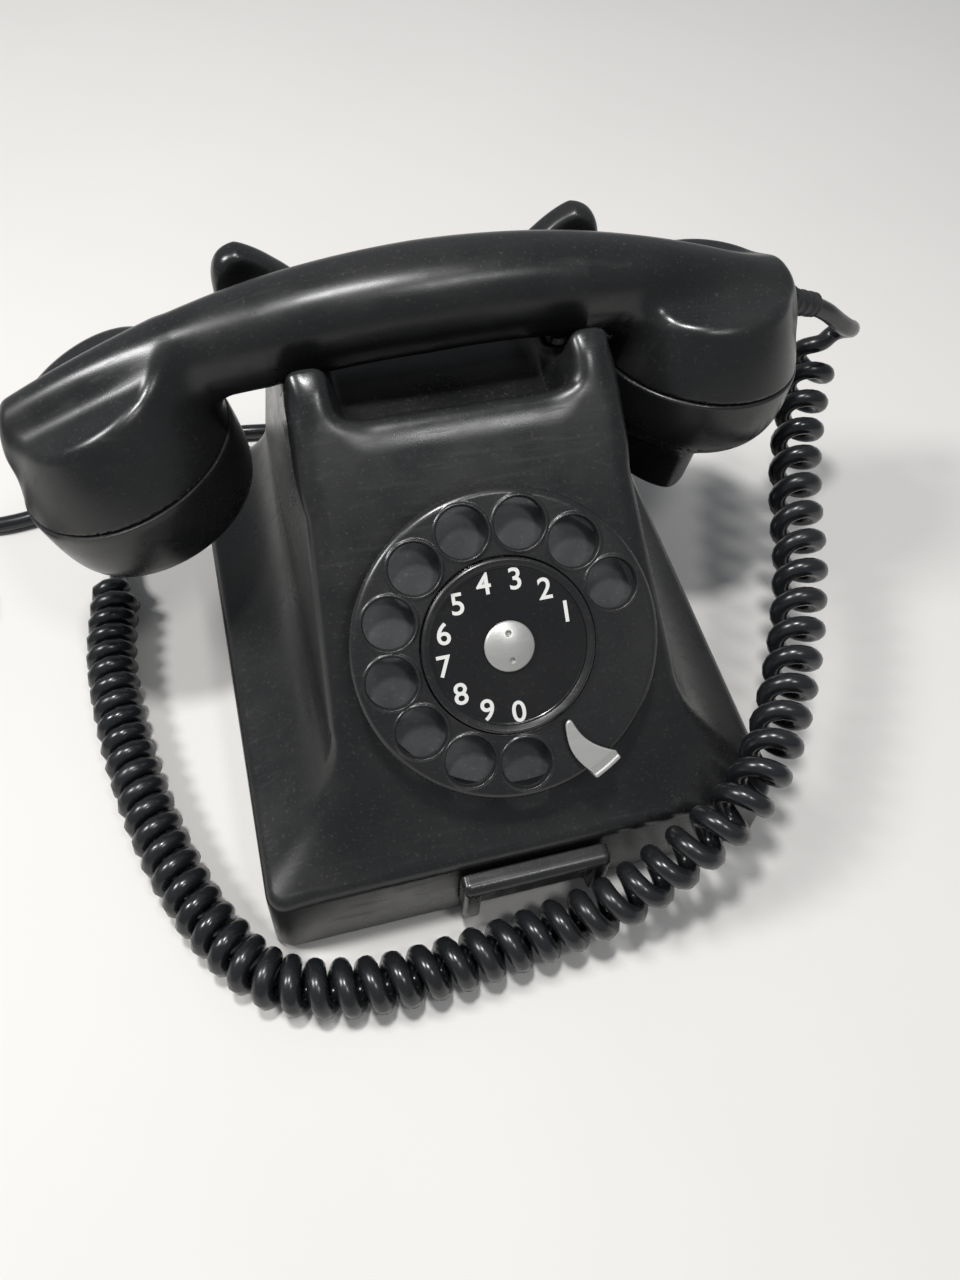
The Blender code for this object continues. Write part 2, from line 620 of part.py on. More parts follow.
def make_dial_case(frame):
    seat = -WHEEL_STANDOFF + SEAT_GAP
    rim = -BACK_DISC_DEPTH - BACK_DISC_THICKNESS - SEAT_GAP
    floor = -WHEEL_STANDOFF - MOVEMENT_DEPTH
    inner = DIAL_CASE_INNER
    bore = SPINDLE_RADIUS + RUN_GAP
    case = [(bore, floor), (DIAL_CASE_RADIUS, floor), (DIAL_CASE_RADIUS, seat),
            (DIAL_CASE_RADIUS + DIAL_CASE_LIP, seat), (DIAL_CASE_RADIUS + DIAL_CASE_LIP, rim + 0.0008),
            (DIAL_CASE_RADIUS + DIAL_CASE_LIP - 0.0006, rim + 0.0014), (inner + 0.0006, rim + 0.0014),
            (inner + 0.0006, rim), (inner, rim), (inner, floor + DIAL_CASE_WALL), (bore, floor + DIAL_CASE_WALL)]
    add_piece("dial_case", turned(case), "bakelite", frame)
    back = disc(inner + 0.0004, -BACK_DISC_DEPTH - BACK_DISC_THICKNESS, -BACK_DISC_DEPTH, SPINDLE_RADIUS + RUN_GAP)
    add_piece("dial_back_disc", back, "grey_plate", frame)
    add_piece("finger_stop", finger_stop(), "grey_metal", frame)


def polar(radius, degrees):
    return radius * math.cos(math.radians(degrees)), radius * math.sin(math.radians(degrees))


def finger_stop():
    """Curved blade above the wheel, bent down outside its rim to the dial case."""
    middle = math.degrees(STOP_ANGLE)
    leg_inner = WHEEL_RADIUS + RUN_GAP + 0.0004
    leg_outer = leg_inner + STOP_THICKNESS
    low = STOP_CLEARANCE
    foot = -WHEEL_STANDOFF + SEAT_GAP
    blade = [polar(STOP_REACH, middle + 1.0), polar(STOP_REACH + 0.0050, middle + 2.4),
             polar(STOP_REACH + 0.0090, middle + 4.2), polar(STOP_REACH + 0.0120, middle + 7.0),
             polar(leg_outer, middle + 6.5), polar(leg_outer, middle + 1.5), polar(leg_outer, middle - 3.5),
             polar(STOP_REACH + 0.0090, middle - 3.7), polar(STOP_REACH + 0.0016, middle - 4.2)]
    bm = bmesh.new()
    bottom = [bm.verts.new((x, y, low)) for x, y in blade]
    top = [bm.verts.new((x, y, low + STOP_THICKNESS)) for x, y in blade]
    leg_in = [bm.verts.new((*polar(leg_inner, a), low)) for a in (middle + 6.5, middle + 1.5, middle - 3.5)]
    foot_in = [bm.verts.new((*polar(leg_inner, a), foot)) for a in (middle + 6.5, middle + 1.5, middle - 3.5)]
    foot_out = [bm.verts.new((*polar(leg_outer, a), foot)) for a in (middle + 6.5, middle + 1.5, middle - 3.5)]
    count = len(blade)
    for i in range(count):
        j = (i + 1) % count
        if i in (4, 5):
            bm.faces.new((foot_out[i - 4], foot_out[i - 3], top[j], top[i]))
        elif i == 3:
            bm.faces.new((bottom[3], leg_in[0], foot_in[0], foot_out[0], top[4], top[3]))
        elif i == 6:
            bm.faces.new((foot_out[2], foot_in[2], leg_in[2], bottom[7], top[7], top[6]))
        else:
            bm.faces.new((bottom[i], bottom[j], top[j], top[i]))
    bm.faces.new(top)
    bm.faces.new([bottom[0], *reversed(bottom[7:]), leg_in[2], leg_in[1], leg_in[0], *reversed(bottom[1:4])])
    for i in (0, 1):
        bm.faces.new((leg_in[i], leg_in[i + 1], foot_in[i + 1], foot_in[i]))
        bm.faces.new((foot_in[i], foot_in[i + 1], foot_out[i + 1], foot_out[i]))
    loose = [v for v in bottom[4:7]]
    bmesh.ops.delete(bm, geom=loose, context="VERTS")
    bmesh.ops.recalc_face_normals(bm, faces=bm.faces)
    return to_mesh(bm)


def make_finger_wheel(frame):
    recess = -LABEL_THICKNESS - SEAT_GAP
    bore = SPINDLE_RADIUS + SEAT_GAP
    lip = LABEL_RADIUS + SEAT_GAP
    edge = WHEEL_RADIUS
    profile = [(bore, -WHEEL_THICKNESS), (edge - WHEEL_EDGE, -WHEEL_THICKNESS), (edge, -WHEEL_THICKNESS + WHEEL_EDGE),
               (edge, -WHEEL_EDGE * 1.2), (edge - WHEEL_EDGE * 0.5, -WHEEL_EDGE * 0.4), (edge - WHEEL_EDGE * 1.5, 0),
               (lip + 0.0006, 0), (lip, -0.0004), (lip, recess), (bore, recess)]
    wheel = add_piece("finger_wheel", turned(profile, 48), "enamel", frame)
    chamfer = 0.0007
    for i in range(HOLE_COUNT):
        x, y = polar(FINGER_RING_RADIUS, math.degrees(FIRST_HOLE + i * HOLE_STEP))
        hole = [(0, -WHEEL_THICKNESS * 2), (FINGER_HOLE_RADIUS, -WHEEL_THICKNESS * 2),
                (FINGER_HOLE_RADIUS, -chamfer), (FINGER_HOLE_RADIUS + 2 * chamfer, chamfer), (0, chamfer)]
        combine(wheel, cutter(f"finger_hole_{i}_cutter", turned(hole, 20), frame, (x, y, 0)))
    add_piece("dial_label", disc(LABEL_RADIUS, -LABEL_THICKNESS, 0, bore, 0.0002), "enamel", frame)
    ring_inner = LABEL_RADIUS - 0.0022
    ring = [(ring_inner, SEAT_GAP), (LABEL_RADIUS, SEAT_GAP), (LABEL_RADIUS, BEZEL_HEIGHT * 0.5),
            (LABEL_RADIUS - BEZEL_WIDTH * 0.5, BEZEL_HEIGHT * 0.75), (ring_inner, BEZEL_HEIGHT * 0.45)]
    add_piece("label_ring", turned(ring), "enamel", frame)
    dome = [(0, -LABEL_THICKNESS), (SPINDLE_RADIUS - SEAT_GAP, -LABEL_THICKNESS), (SPINDLE_RADIUS - SEAT_GAP, SEAT_GAP),
            (CAP_RADIUS, SEAT_GAP), (CAP_RADIUS, CAP_HEIGHT * 0.55), (CAP_RADIUS * 0.86, CAP_HEIGHT * 0.84),
            (CAP_RADIUS * 0.55, CAP_HEIGHT * 0.97), (0, CAP_HEIGHT)]
    cap = add_piece("centre_cap", turned(dome, 24), "grey_metal", frame)
    for side in (-1, 1):
        place = (0, side * SPANNER_SPACING / 2, 0)
        pit = rod((0, 0, CAP_HEIGHT * 0.55), (0, 0, CAP_HEIGHT * 2), SPANNER_HOLE_RADIUS, 12)
        combine(cap, cutter(f"spanner_hole_{side:+d}", pit, frame, place))


GEAR_TEETH = 24
GOVERNOR_RATIO = 12


def toothed_disc(radius, teeth, depth, low, high, bore):
    """Gear blank with a simple trapezium tooth."""
    outline = []
    for i in range(teeth):
        step = 2 * math.pi / teeth
        for share, reach in ((-0.32, radius - depth), (-0.16, radius), (0.16, radius), (0.32, radius - depth)):
            angle = (i + share) * step
            outline.append((reach * math.cos(angle), reach * math.sin(angle)))
    hole = [(bore * math.cos(2 * math.pi * i / len(outline) - 0.32 * step),
             bore * math.sin(2 * math.pi * i / len(outline) - 0.32 * step)) for i in range(len(outline))]
    bm = bmesh.new()
    rows = [[bm.verts.new((x, y, z)) for x, y in line]
            for line, z in ((hole, low), (outline, low), (outline, high), (hole, high))]
    for one, two in zip(rows, rows[1:] + rows[:1]):
        for i in range(len(one)):
            j = (i + 1) % len(one)
            bm.faces.new((one[i], one[j], two[j], two[i]))
    bmesh.ops.recalc_face_normals(bm, faces=bm.faces)
    return to_mesh(bm)


def make_movement(frame, wheel_frame):
    """Spindle with its gear, return spring, governor and pulse contacts inside the dial case."""
    shelf = -BACK_DISC_DEPTH - BACK_DISC_THICKNESS
    spindle_top = -LABEL_THICKNESS - SEAT_GAP
    spindle_low = -WHEEL_STANDOFF - MOVEMENT_DEPTH - SPINDLE_RADIUS * 0.7
    collar = SPINDLE_RADIUS * 1.7
    collar_top, collar_low = shelf - SPINDLE_RADIUS * 0.8, shelf - SPINDLE_RADIUS * 1.45
    spindle = [(0, spindle_low), (SPINDLE_RADIUS, spindle_low), (SPINDLE_RADIUS, collar_low),
               (collar, collar_low), (collar, collar_top), (SPINDLE_RADIUS, collar_top),
               (SPINDLE_RADIUS, spindle_top), (0, spindle_top)]
    add_piece("dial_spindle", turned(spindle, SMALL_ROUND), "steel", wheel_frame)
    gear_top = collar_low - GEAR_THICKNESS
    gear_low = gear_top - GEAR_THICKNESS
    bore = SPINDLE_RADIUS + SEAT_GAP
    gear = toothed_disc(GEAR_RADIUS, GEAR_TEETH, GEAR_TOOTH, gear_low, gear_top, bore)
    add_piece("main_gear", gear, "brass", wheel_frame)
    barrel_top = gear_low - SEAT_GAP
    barrel = disc(SPRING_RADIUS, barrel_top - SPRING_HEIGHT, barrel_top, bore, SEAT_GAP, 28)
    add_piece("return_spring", barrel, "steel", wheel_frame)
    plate_top = barrel_top - SPRING_HEIGHT - RUN_GAP
    inner = DIAL_CASE_INNER - SEAT_GAP
    plate = disc(inner, plate_top - PLATE_THICKNESS, plate_top, SPINDLE_RADIUS + RUN_GAP)
    add_piece("movement_plate", plate, "brass", frame)
    make_governor(frame, plate_top)
    make_pulse_contacts(frame, plate_top)


def make_governor(frame, plate_top):
    """Speed governor that lies across the case, with its worm under the main gear's edge."""
    thin, drum, half, sheet = GOVERNOR_SHAFT_RADIUS, GOVERNOR_DRUM_RADIUS, GOVERNOR_HALF_LENGTH, PLATE_THICKNESS
    height = plate_top + SEAT_GAP + sheet + drum + RUN_GAP
    y = -DIAL_CASE_INNER + 1.65 * drum
    axis = add_empty("governor_axis", (0, y, height), (0, math.radians(90), 0), frame)
    shaft = [(0, -half), (thin, -half), (thin, -half * 0.30), (WORM_RADIUS, -half * 0.27),
             (WORM_RADIUS, half * 0.15), (thin, half * 0.18), (thin, half * 0.44), (drum, half * 0.46),
             (drum, half * 0.78), (thin, half * 0.80), (thin, half), (0, half)]
    add_piece("governor", turned(shaft, SMALL_ROUND), "steel", axis)
    low, high = plate_top + SEAT_GAP, height + 2 * sheet
    reach = half + RUN_GAP
    bracket = [(-reach - sheet, low), (reach + sheet, low), (reach + sheet, high), (reach, high),
               (reach, low + sheet), (-reach, low + sheet), (-reach, high), (-reach - sheet, high)]
    add_piece("governor_bracket", prism(bracket, y - drum * 0.7, y + drum * 0.7, "Y"), "brass", frame)


def make_pulse_contacts(frame, plate_top):
    """Pack of contact springs beside the gear."""
    low = plate_top + SEAT_GAP
    tip, root, end = (GEAR_RADIUS + CONTACT_WIDTH * share for share in (0.36, 0.9, 1.3))
    levels = [low + CONTACT_HEIGHT * share for share in (0.38, 0.62, 0.77, 1.0)]
    stack = [(tip, low), (end, low), (end, levels[3]), (root, levels[3]), (root, levels[2]), (tip, levels[2]),
             (tip, levels[1]), (root, levels[1]), (root, levels[0]), (tip, levels[0])]
    add_piece("pulse_contacts", prism(stack, -CONTACT_WIDTH / 2, CONTACT_WIDTH / 2, "X"), "fibre", frame)


# ---------------------------------------------------------- cradle mechanism

def make_cradle_switch():
    """Two plungers joined by a yoke inside, and the spring pack that the yoke works."""
    handle_low = handle_section(PLUNGER_X)[2]
    top = handle_low - SEAT_GAP
    low = LEDGE_HEIGHT - TROUGH_DEPTH - WALL - 2 * PLUNGER_TRAVEL
    axis = add_empty("plunger_axis", (0, HANDLE_Y, low))
    for side, hand in ((-1, "left"), (1, "right")):
        crown = [(0, SEAT_GAP / 2), (PLUNGER_RADIUS, SEAT_GAP / 2), (PLUNGER_RADIUS, top - low - PLUNGER_RADIUS * 0.5),
                 (PLUNGER_RADIUS * 0.7, top - low - PLUNGER_RADIUS * 0.1), (0, top - low)]
        add_piece(f"plunger_{hand}", turned(crown, SMALL_ROUND), "bakelite", axis, (side * PLUNGER_X, 0, 0))
    thickness = YOKE_THICKNESS
    yoke = block((2 * PLUNGER_X + YOKE_WIDTH, YOKE_WIDTH, thickness), (0, 0, -thickness / 2 - SEAT_GAP / 3))
    add_piece("hook_yoke", yoke, "steel", axis)
    pack_top = low - thickness - 2 * RUN_GAP
    pack_y = HANDLE_Y + SWITCH_LENGTH * 0.28
    pack = block((SWITCH_WIDTH, SWITCH_LENGTH, SWITCH_HEIGHT), (0, pack_y, pack_top - SWITCH_HEIGHT / 2), RUN_GAP)
    add_piece("switch_springs", pack, "fibre")
    ceiling = LEDGE_HEIGHT - TROUGH_DEPTH - WALL - SEAT_GAP
    near = pack_y + SWITCH_LENGTH / 2 + SEAT_GAP
    far, foot = near + HANGER_SHEET, near + HANGER_SHEET * 4.5
    hanger = [(near, pack_top - SWITCH_HEIGHT), (far, pack_top - SWITCH_HEIGHT), (far, ceiling - HANGER_SHEET),
              (foot, ceiling - HANGER_SHEET), (foot, ceiling), (near, ceiling)]
    add_piece("switch_hanger", prism(hanger, -SWITCH_WIDTH / 2, SWITCH_WIDTH / 2, "X"), "steel")


# -------------------------------------------------------------------- ringer

GONG_LOW = BASE_PLATE_TOP + GONG_RISE


def make_ringer():
    """Two gongs, the coils and the clapper between them, on the base plate."""
    floor = BASE_PLATE_TOP + SEAT_GAP
    shell = GONG_SHEET
    for side, hand in ((-1, "left"), (1, "right")):
        dome = [(0.0026, GONG_HEIGHT)] + [(GONG_RADIUS * math.sin(a), GONG_HEIGHT * math.cos(a))
                                         for a in np.radians(np.linspace(12, 90, 5))]
        inner = [((GONG_RADIUS - shell) * math.sin(a), (GONG_HEIGHT - shell) * math.cos(a))
                 for a in np.radians(np.linspace(90, 12, 5))]
        gong = turned(dome + inner + [(0.0026, GONG_HEIGHT - shell)], 24)
        add_piece(f"gong_{hand}", gong, "brass", location=(side * GONG_X, GONG_Y, GONG_LOW))
        post_top = GONG_LOW + GONG_HEIGHT
        shoulder, head = post_top - 2 * shell, post_top + 2 * shell
        pin_radius = POST_RADIUS * 0.55
        post = [(0, floor), (POST_RADIUS, floor), (POST_RADIUS, shoulder), (pin_radius, shoulder),
                (pin_radius, post_top + SEAT_GAP), (POST_RADIUS, post_top + SEAT_GAP), (POST_RADIUS, head), (0, head)]
        add_piece(f"gong_post_{hand}", turned(post, SMALL_ROUND), "steel", location=(side * GONG_X, GONG_Y, 0))
    coil_y = RINGER_Y
    coil_low = floor + RINGER_FRAME_HEIGHT + SEAT_GAP
    frame_length = 2 * (RINGER_COIL_X + RINGER_COIL_RADIUS + RUN_GAP * 4)
    frame = block((frame_length, RINGER_COIL_RADIUS * 1.26, RINGER_FRAME_HEIGHT),
                  (0, coil_y, floor + RINGER_FRAME_HEIGHT / 2), SEAT_GAP)
    ringer_frame = add_piece("ringer_frame", frame, "steel")
    bar_half = GONG_SHEET * 0.57
    pivot_height = coil_low + RINGER_COIL_LENGTH + bar_half * 2.5
    seat, tip = pivot_height - bar_half - SEAT_GAP, pivot_height + GONG_SHEET * 1.6
    pin = [(0, floor + SEAT_GAP), (PIVOT_RADIUS * 2, floor + SEAT_GAP), (PIVOT_RADIUS * 2, seat),
           (PIVOT_RADIUS, seat), (PIVOT_RADIUS, tip), (0, tip)]
    combine(ringer_frame, cutter("pivot_form", turned(pin, SMALL_ROUND), None, (0, coil_y, 0)), "UNION")
    for side, hand in ((-1, "left"), (1, "right")):
        bobbin = bobbin_outline(RINGER_COIL_RADIUS, 0, RINGER_COIL_LENGTH)
        add_piece(f"ringer_coil_{hand}", turned(bobbin, 24), "copper", location=(side * RINGER_COIL_X, coil_y, coil_low))
    axis = add_empty("clapper_axis", (0, coil_y, pivot_height))
    reach = GONG_Y - coil_y - HAMMER_RADIUS
    arm = rod((0, 0, 0), (0, reach, 0), bar_half * 1.1, 10)
    crown = bar_half * 1.5
    hammer = cutter("hammer_form", disc(HAMMER_RADIUS, crown - HAMMER_LENGTH, crown, 0, RUN_GAP, SMALL_ROUND), axis,
                    (0, reach, 0))
    armature = block((2 * (RINGER_COIL_X + RINGER_COIL_RADIUS * 0.74), PIVOT_RADIUS * 5, 2 * bar_half))
    bar = cutter("armature_form", armature, axis)
    clapper = add_piece("clapper", arm, "steel", axis)
    combine(clapper, hammer, "UNION")
    combine(clapper, bar, "UNION")
    bore = rod((0, 0, -0.004), (0, 0, 0.004), PIVOT_RADIUS + SEAT_GAP)
    combine(clapper, cutter("pivot_bore", bore, axis))


def bobbin_outline(radius, low, high):
    """Outline of a wound coil between two flanges."""
    flange = radius * 0.15
    wound = radius * 0.86
    return [(0, low), (radius, low), (radius, low + flange), (wound, low + flange), (wound, high - flange),
            (radius, high - flange), (radius, high), (0, high)]


def make_circuit():
    """Induction coil, capacitor and terminal block on the base plate."""
    floor = BASE_PLATE_TOP + SEAT_GAP
    case = block((CAPACITOR_WIDTH, CAPACITOR_WIDTH, CAPACITOR_HEIGHT),
                 (CAPACITOR_X, CAPACITOR_Y, floor + CAPACITOR_HEIGHT / 2), RUN_GAP * 1.5)
    add_piece("capacitor", case, "steel")
    coil = turned(bobbin_outline(INDUCTION_RADIUS, -INDUCTION_LENGTH / 2, INDUCTION_LENGTH / 2), 24)
    coil.transform(Matrix.Rotation(math.radians(90), 4, "X"))
    add_piece("induction_coil", coil, "copper", location=(INDUCTION_X, INDUCTION_Y, floor + INDUCTION_RADIUS))
    strip = block((TERMINAL_LENGTH, TERMINAL_WIDTH, TERMINAL_HEIGHT),
                  (0, TERMINAL_Y, floor + TERMINAL_HEIGHT / 2), RUN_GAP)
    add_piece("terminal_block", strip, "bakelite")


# ------------------------------------------------------------------- handset

SECTION_POINTS = 22


def handle_section(x):
    """Half width, top height and low height of the handle at x."""
    reach = abs(x) / HANDLE_END
    top = HANDLE_TOP - (HANDLE_ARCH - math.sqrt(HANDLE_ARCH ** 2 - x * x))
    slim = 1 - 0.42 * max(0.0, (reach - 0.45) / 0.55) ** 1.3
    width = HANDLE_HALF_WIDTH * (1 + 0.16 * max(0.0, min(1.0, (reach - 0.45) / 0.35)))
    return width, top, top - HANDLE_THICKNESS * slim


def handle_form():
    """Arched grip whose ends flatten out over the cups."""
    rings = []
    stations = [-1.0, -0.992, -0.965, -0.90, -0.80, -0.70, -0.60, -0.50, -0.40, -0.28, -0.14]
    stations += [0.0] + [-s for s in reversed(stations)]
    for share in stations:
        x = share * HANDLE_END
        width, top, low = handle_section(x)
        soft = {1.0: 0.78, 0.992: 0.90, 0.965: 0.97}.get(abs(share), 1.0)
        middle, half = (top + low) / 2, (top - low) / 2 * soft
        ring = []
        for i in range(SECTION_POINTS):
            angle = 2 * math.pi * i / SECTION_POINTS
            c, s = math.cos(angle), math.sin(angle)
            power = 0.86
            ring.append((x, HANDLE_Y + width * soft * math.copysign(abs(c) ** power, c),
                         middle + half * math.copysign(abs(s) ** power, s)))
        rings.append(ring)
    return loft(rings)


def cup_form(radius=CUP_RADIUS, height=CUP_HEIGHT):
    """Domed cup over a capsule, its seam at height 0."""
    profile = [(0, 0), (radius, 0), (radius * 0.995, height * 0.30), (radius * 0.955, height * 0.55),
               (radius * 0.865, height * 0.76), (radius * 0.70, height * 0.91), (radius * 0.42, height * 0.985),
               (0, height)]
    return turned(profile, ROUND)


EAR_SEAT = (EAR_X, HANDLE_Y, EAR_SEAM_HEIGHT)
MOUTH_SEAT = (MOUTH_X, HANDLE_Y, MOUTH_SEAM_HEIGHT)


def make_handset():
    origin = Vector((0, HANDLE_Y, HANDLE_TOP - HANDLE_THICKNESS / 2))
    body = add_empty("handset_axis", origin)
    to_local = Matrix.Translation(-origin)
    grip = handle_form()
    grip.transform(to_local)
    shell = add_piece("handset_shell", grip, "bakelite", body)
    capsule_room = CAPSULE_ABOVE + SEAT_GAP
    for name, seat, tilt, depth in (("ear", EAR_SEAT, -EAR_TILT, EAR_CAP_DEPTH),
                                    ("mouth", MOUTH_SEAT, MOUTH_TILT, MOUTH_CAP_DEPTH)):
        cap_room = disc(CUP_RADIUS + CAP_FLARE + SEAT_GAP, -depth, SEAT_GAP)
        combine(shell, cutter(f"{name}_cap_room", cap_room, body, Vector(seat) - origin, (0, tilt, 0)))
    for name, seat, tilt in (("ear", EAR_SEAT, -EAR_TILT), ("mouth", MOUTH_SEAT, MOUTH_TILT)):
        place = Vector(seat) - origin
        cup = cutter(f"{name}_cup_form", cup_form(), body, place, (0, tilt, 0))
        combine(shell, cup, "UNION")
    for name, seat, tilt in (("ear", EAR_SEAT, -EAR_TILT), ("mouth", MOUTH_SEAT, MOUTH_TILT)):
        place = Vector(seat) - origin
        room = disc(CUP_RADIUS - CAP_WALL, -CAP_WALL, capsule_room, 0, RUN_GAP, ROUND)
        combine(shell, cutter(f"{name}_cup_hollow", room, body, place, (0, tilt, 0)))
    make_ear_end(body, Vector(EAR_SEAT) - origin)
    make_mouth_end(body, Vector(MOUTH_SEAT) - origin)
    make_boot(shell, body, origin)
    return shell


def cap_profile(depth, face_hole):
    """Screwed cap below a cup: a rim, a tapered wall and a dished face."""
    wall = CAP_WALL
    rim = CUP_RADIUS + CAP_FLARE
    top = -SEAT_GAP
    outer = [(rim - wall, top), (rim - 0.0006, top), (rim, top - 0.0007), (rim, top - 0.0020),
             (rim * 0.985, -depth * 0.55), (rim * 0.945, -depth * 0.84), (rim * 0.885, -depth)]
    face = [(rim * 0.80, -depth), (rim * 0.40, -depth + 0.0040), (face_hole, -depth + 0.0048)]
    inside = [(face_hole, -depth + 0.0048 + wall), (rim * 0.42, -depth + 0.0040 + wall),
              (rim * 0.82, -depth + wall), (rim * 0.90, -depth * 0.70)]
    return outer + face + inside


def capsule_form():
    """Metal can of the receiver or the transmitter, its edges drawn in."""
    neck = CAPSULE_RADIUS * 0.88
    outline = [(0, -CAPSULE_BELOW), (neck, -CAPSULE_BELOW), (CAPSULE_RADIUS, -CAPSULE_BELOW * 0.73),
               (CAPSULE_RADIUS, CAPSULE_ABOVE * 0.8), (neck, CAPSULE_ABOVE), (0, CAPSULE_ABOVE)]
    return turned(outline, 24)


def make_ear_end(body, place):
    tilt = (0, -EAR_TILT, 0)
    cap = add_piece("ear_cap", turned(cap_profile(EAR_CAP_DEPTH, 0.0016), ROUND), "bakelite", body, place, tilt)
    for i in range(6):
        x, y = polar(SOUND_RING_RADIUS, 60 * i)
        hole = rod((x, y, -EAR_CAP_DEPTH - CAP_WALL), (x, y, -EAR_CAP_DEPTH / 2), SOUND_HOLE_RADIUS, 12)
        combine(cap, cutter(f"ear_hole_{i}", hole, body, place, tilt))
    add_piece("receiver_capsule", capsule_form(), "steel", body, place, tilt)


def make_mouth_end(body, place):
    tilt = (0, MOUTH_TILT, 0)
    cap = add_piece("mouth_cap", turned(cap_profile(MOUTH_CAP_DEPTH, 0.0016), ROUND), "bakelite", body, place, tilt)
    shift = HORN_SHIFT
    low, high = -MOUTH_CAP_DEPTH - HORN_LENGTH, -MOUTH_CAP_DEPTH + 0.0030
    outer, inner = [], []
    for height, share in ((high, 1.0), (low, 0.80)):
        outer.append([(shift + HORN_HALF_WIDTH * share * math.cos(a), HORN_HALF_DEPTH * share * math.sin(a), height)
                      for a in np.linspace(0, 2 * math.pi, 28, endpoint=False)])
    for height, share in ((high + 0.0040, 0.62), (low - 0.0010, 0.68)):
        inner.append([(shift + HORN_HALF_WIDTH * share * math.cos(a), HORN_HALF_DEPTH * share * math.sin(a), height)
                      for a in np.linspace(0, 2 * math.pi, 28, endpoint=False)])
    combine(cap, cutter("horn_form", loft(outer), body, place, tilt), "UNION")
    combine(cap, cutter("horn_mouth", loft(inner), body, place, tilt))
    add_piece("transmitter_capsule", capsule_form(), "steel", body, place, tilt)


BOOT_START = Vector((0.1172, 0.0448, HANDLE_TOP - 0.0373))
BOOT_DIRECTION = Vector((0.94, 0.32, -0.12)).normalized()
BOOT_RADIUS = 0.0050
BOOT_TIP_RADIUS = 0.0040
BOOT_SEAT = 0.0030           # how deep the boot sits in its socket


def make_boot(shell, body, origin):
    """Rubber strain relief where the curly cord goes into the mouthpiece end."""
    start = BOOT_START - origin
    seat, end = start - BOOT_DIRECTION * BOOT_SEAT, start + BOOT_DIRECTION * BOOT_LENGTH
    socket = rod(seat - BOOT_DIRECTION * SEAT_GAP, start + BOOT_DIRECTION * BOOT_SEAT * 2, BOOT_RADIUS + SEAT_GAP)
    combine(shell, cutter("boot_socket_cutter", socket, body))
    boot = rod(seat, end, BOOT_RADIUS, SMALL_ROUND, BOOT_TIP_RADIUS)
    add_piece("handset_boot", boot, "rubber", body)


# --------------------------------------------------------------------- cords

def smooth_route(points, spacing):
    """Points at even spacing on a smooth curve through a route's own points."""
    path = [Vector(p) for p in points]
    path = [2 * path[0] - path[1], *path, 2 * path[-1] - path[-2]]
    fine = []
    for a, b, c, d in zip(path, path[1:], path[2:], path[3:]):
        for t in np.linspace(0, 1, 16, endpoint=False):
            fine.append(0.5 * ((2 * b) + (c - a) * t + (2 * a - 5 * b + 4 * c - d) * t ** 2
                               + (3 * b - a - 3 * c + d) * t ** 3))
    fine.append(path[-2])
    lengths = np.concatenate([[0], np.cumsum([(q - p).length for p, q in zip(fine, fine[1:])])])
    count = max(2, round(lengths[-1] / spacing) + 1)
    marks = np.linspace(0, lengths[-1], count)
    xyz = [np.interp(marks, lengths, [p[i] for p in fine]) for i in range(3)]
    return [Vector(p) for p in zip(*xyz)]


def add_tube(name, points, diameter, spacing, sides=2):
    """Plain tube along a smooth route, with flat ends."""
    curve = bpy.data.curves.new(name, "CURVE")
    curve.dimensions = "3D"
    curve.bevel_depth = diameter / 2
    curve.bevel_resolution = sides
    curve.use_fill_caps = True
    route = smooth_route(points, spacing)
    spline = curve.splines.new("POLY")
    spline.points.add(len(route) - 1)
    for knot, point in zip(spline.points, route):
        knot.co = (*point, 1)
    curve.materials.append(finish("rubber"))
    tube = bpy.data.objects.new(name, curve)
    bpy.context.collection.objects.link(tube)
    return tube


CURLY_REST = CURLY_DIAMETER / 2 + 0.0004     # height of the coiled cord's middle on the table
LEAD_REST = WIRE_DIAMETER / 2 + 0.0004
LINE_REST = LINE_DIAMETER / 2 + 0.0004

# The coiled stretch: up the left side, round the front, over the corner, up to the handset
CURLY_ROUTE = [
    (-0.112, 0.056, CURLY_REST), (-0.116, 0.024, CURLY_REST), (-0.114, -0.006, CURLY_REST),
    (-0.109, -0.034, CURLY_REST), (-0.102, -0.058, CURLY_REST), (-0.093, -0.078, CURLY_REST),
    (-0.080, -0.095, CURLY_REST), (-0.062, -0.1025, CURLY_REST), (-0.042, -0.1045, CURLY_REST),
    (-0.020, -0.1035, CURLY_REST + 0.0003), (0.000, -0.1020, 0.0110), (0.018, -0.1008, 0.0155),
    (0.036, -0.0988, 0.0235), (0.053, -0.0962, 0.0322), (0.068, -0.0918, 0.0394),
    (0.080, -0.0830, 0.0424), (0.088, -0.0700, 0.0430), (0.095, -0.0540, 0.0440),
    (0.103, -0.0350, 0.0455), (0.110, -0.0150, 0.0470), (0.117, 0.0050, 0.0488),
    (0.125, 0.0250, 0.0515), (0.134, 0.0430, 0.0555), (0.143, 0.0570, 0.0600), (0.150, 0.0670, 0.0660),
]
# The lead from the coiled stretch to the boot on the handset
UPPER_LEAD_ROUTE = [
    (0.1513, 0.0689, 0.0670), (0.1526, 0.0706, 0.0695), (0.1534, 0.0714, 0.0748), (0.1525, 0.0703, 0.0825),
    (0.1485, 0.0640, 0.0915), (0.1405, 0.0545, 0.0978), (0.1294, 0.0489, 0.0996),
]


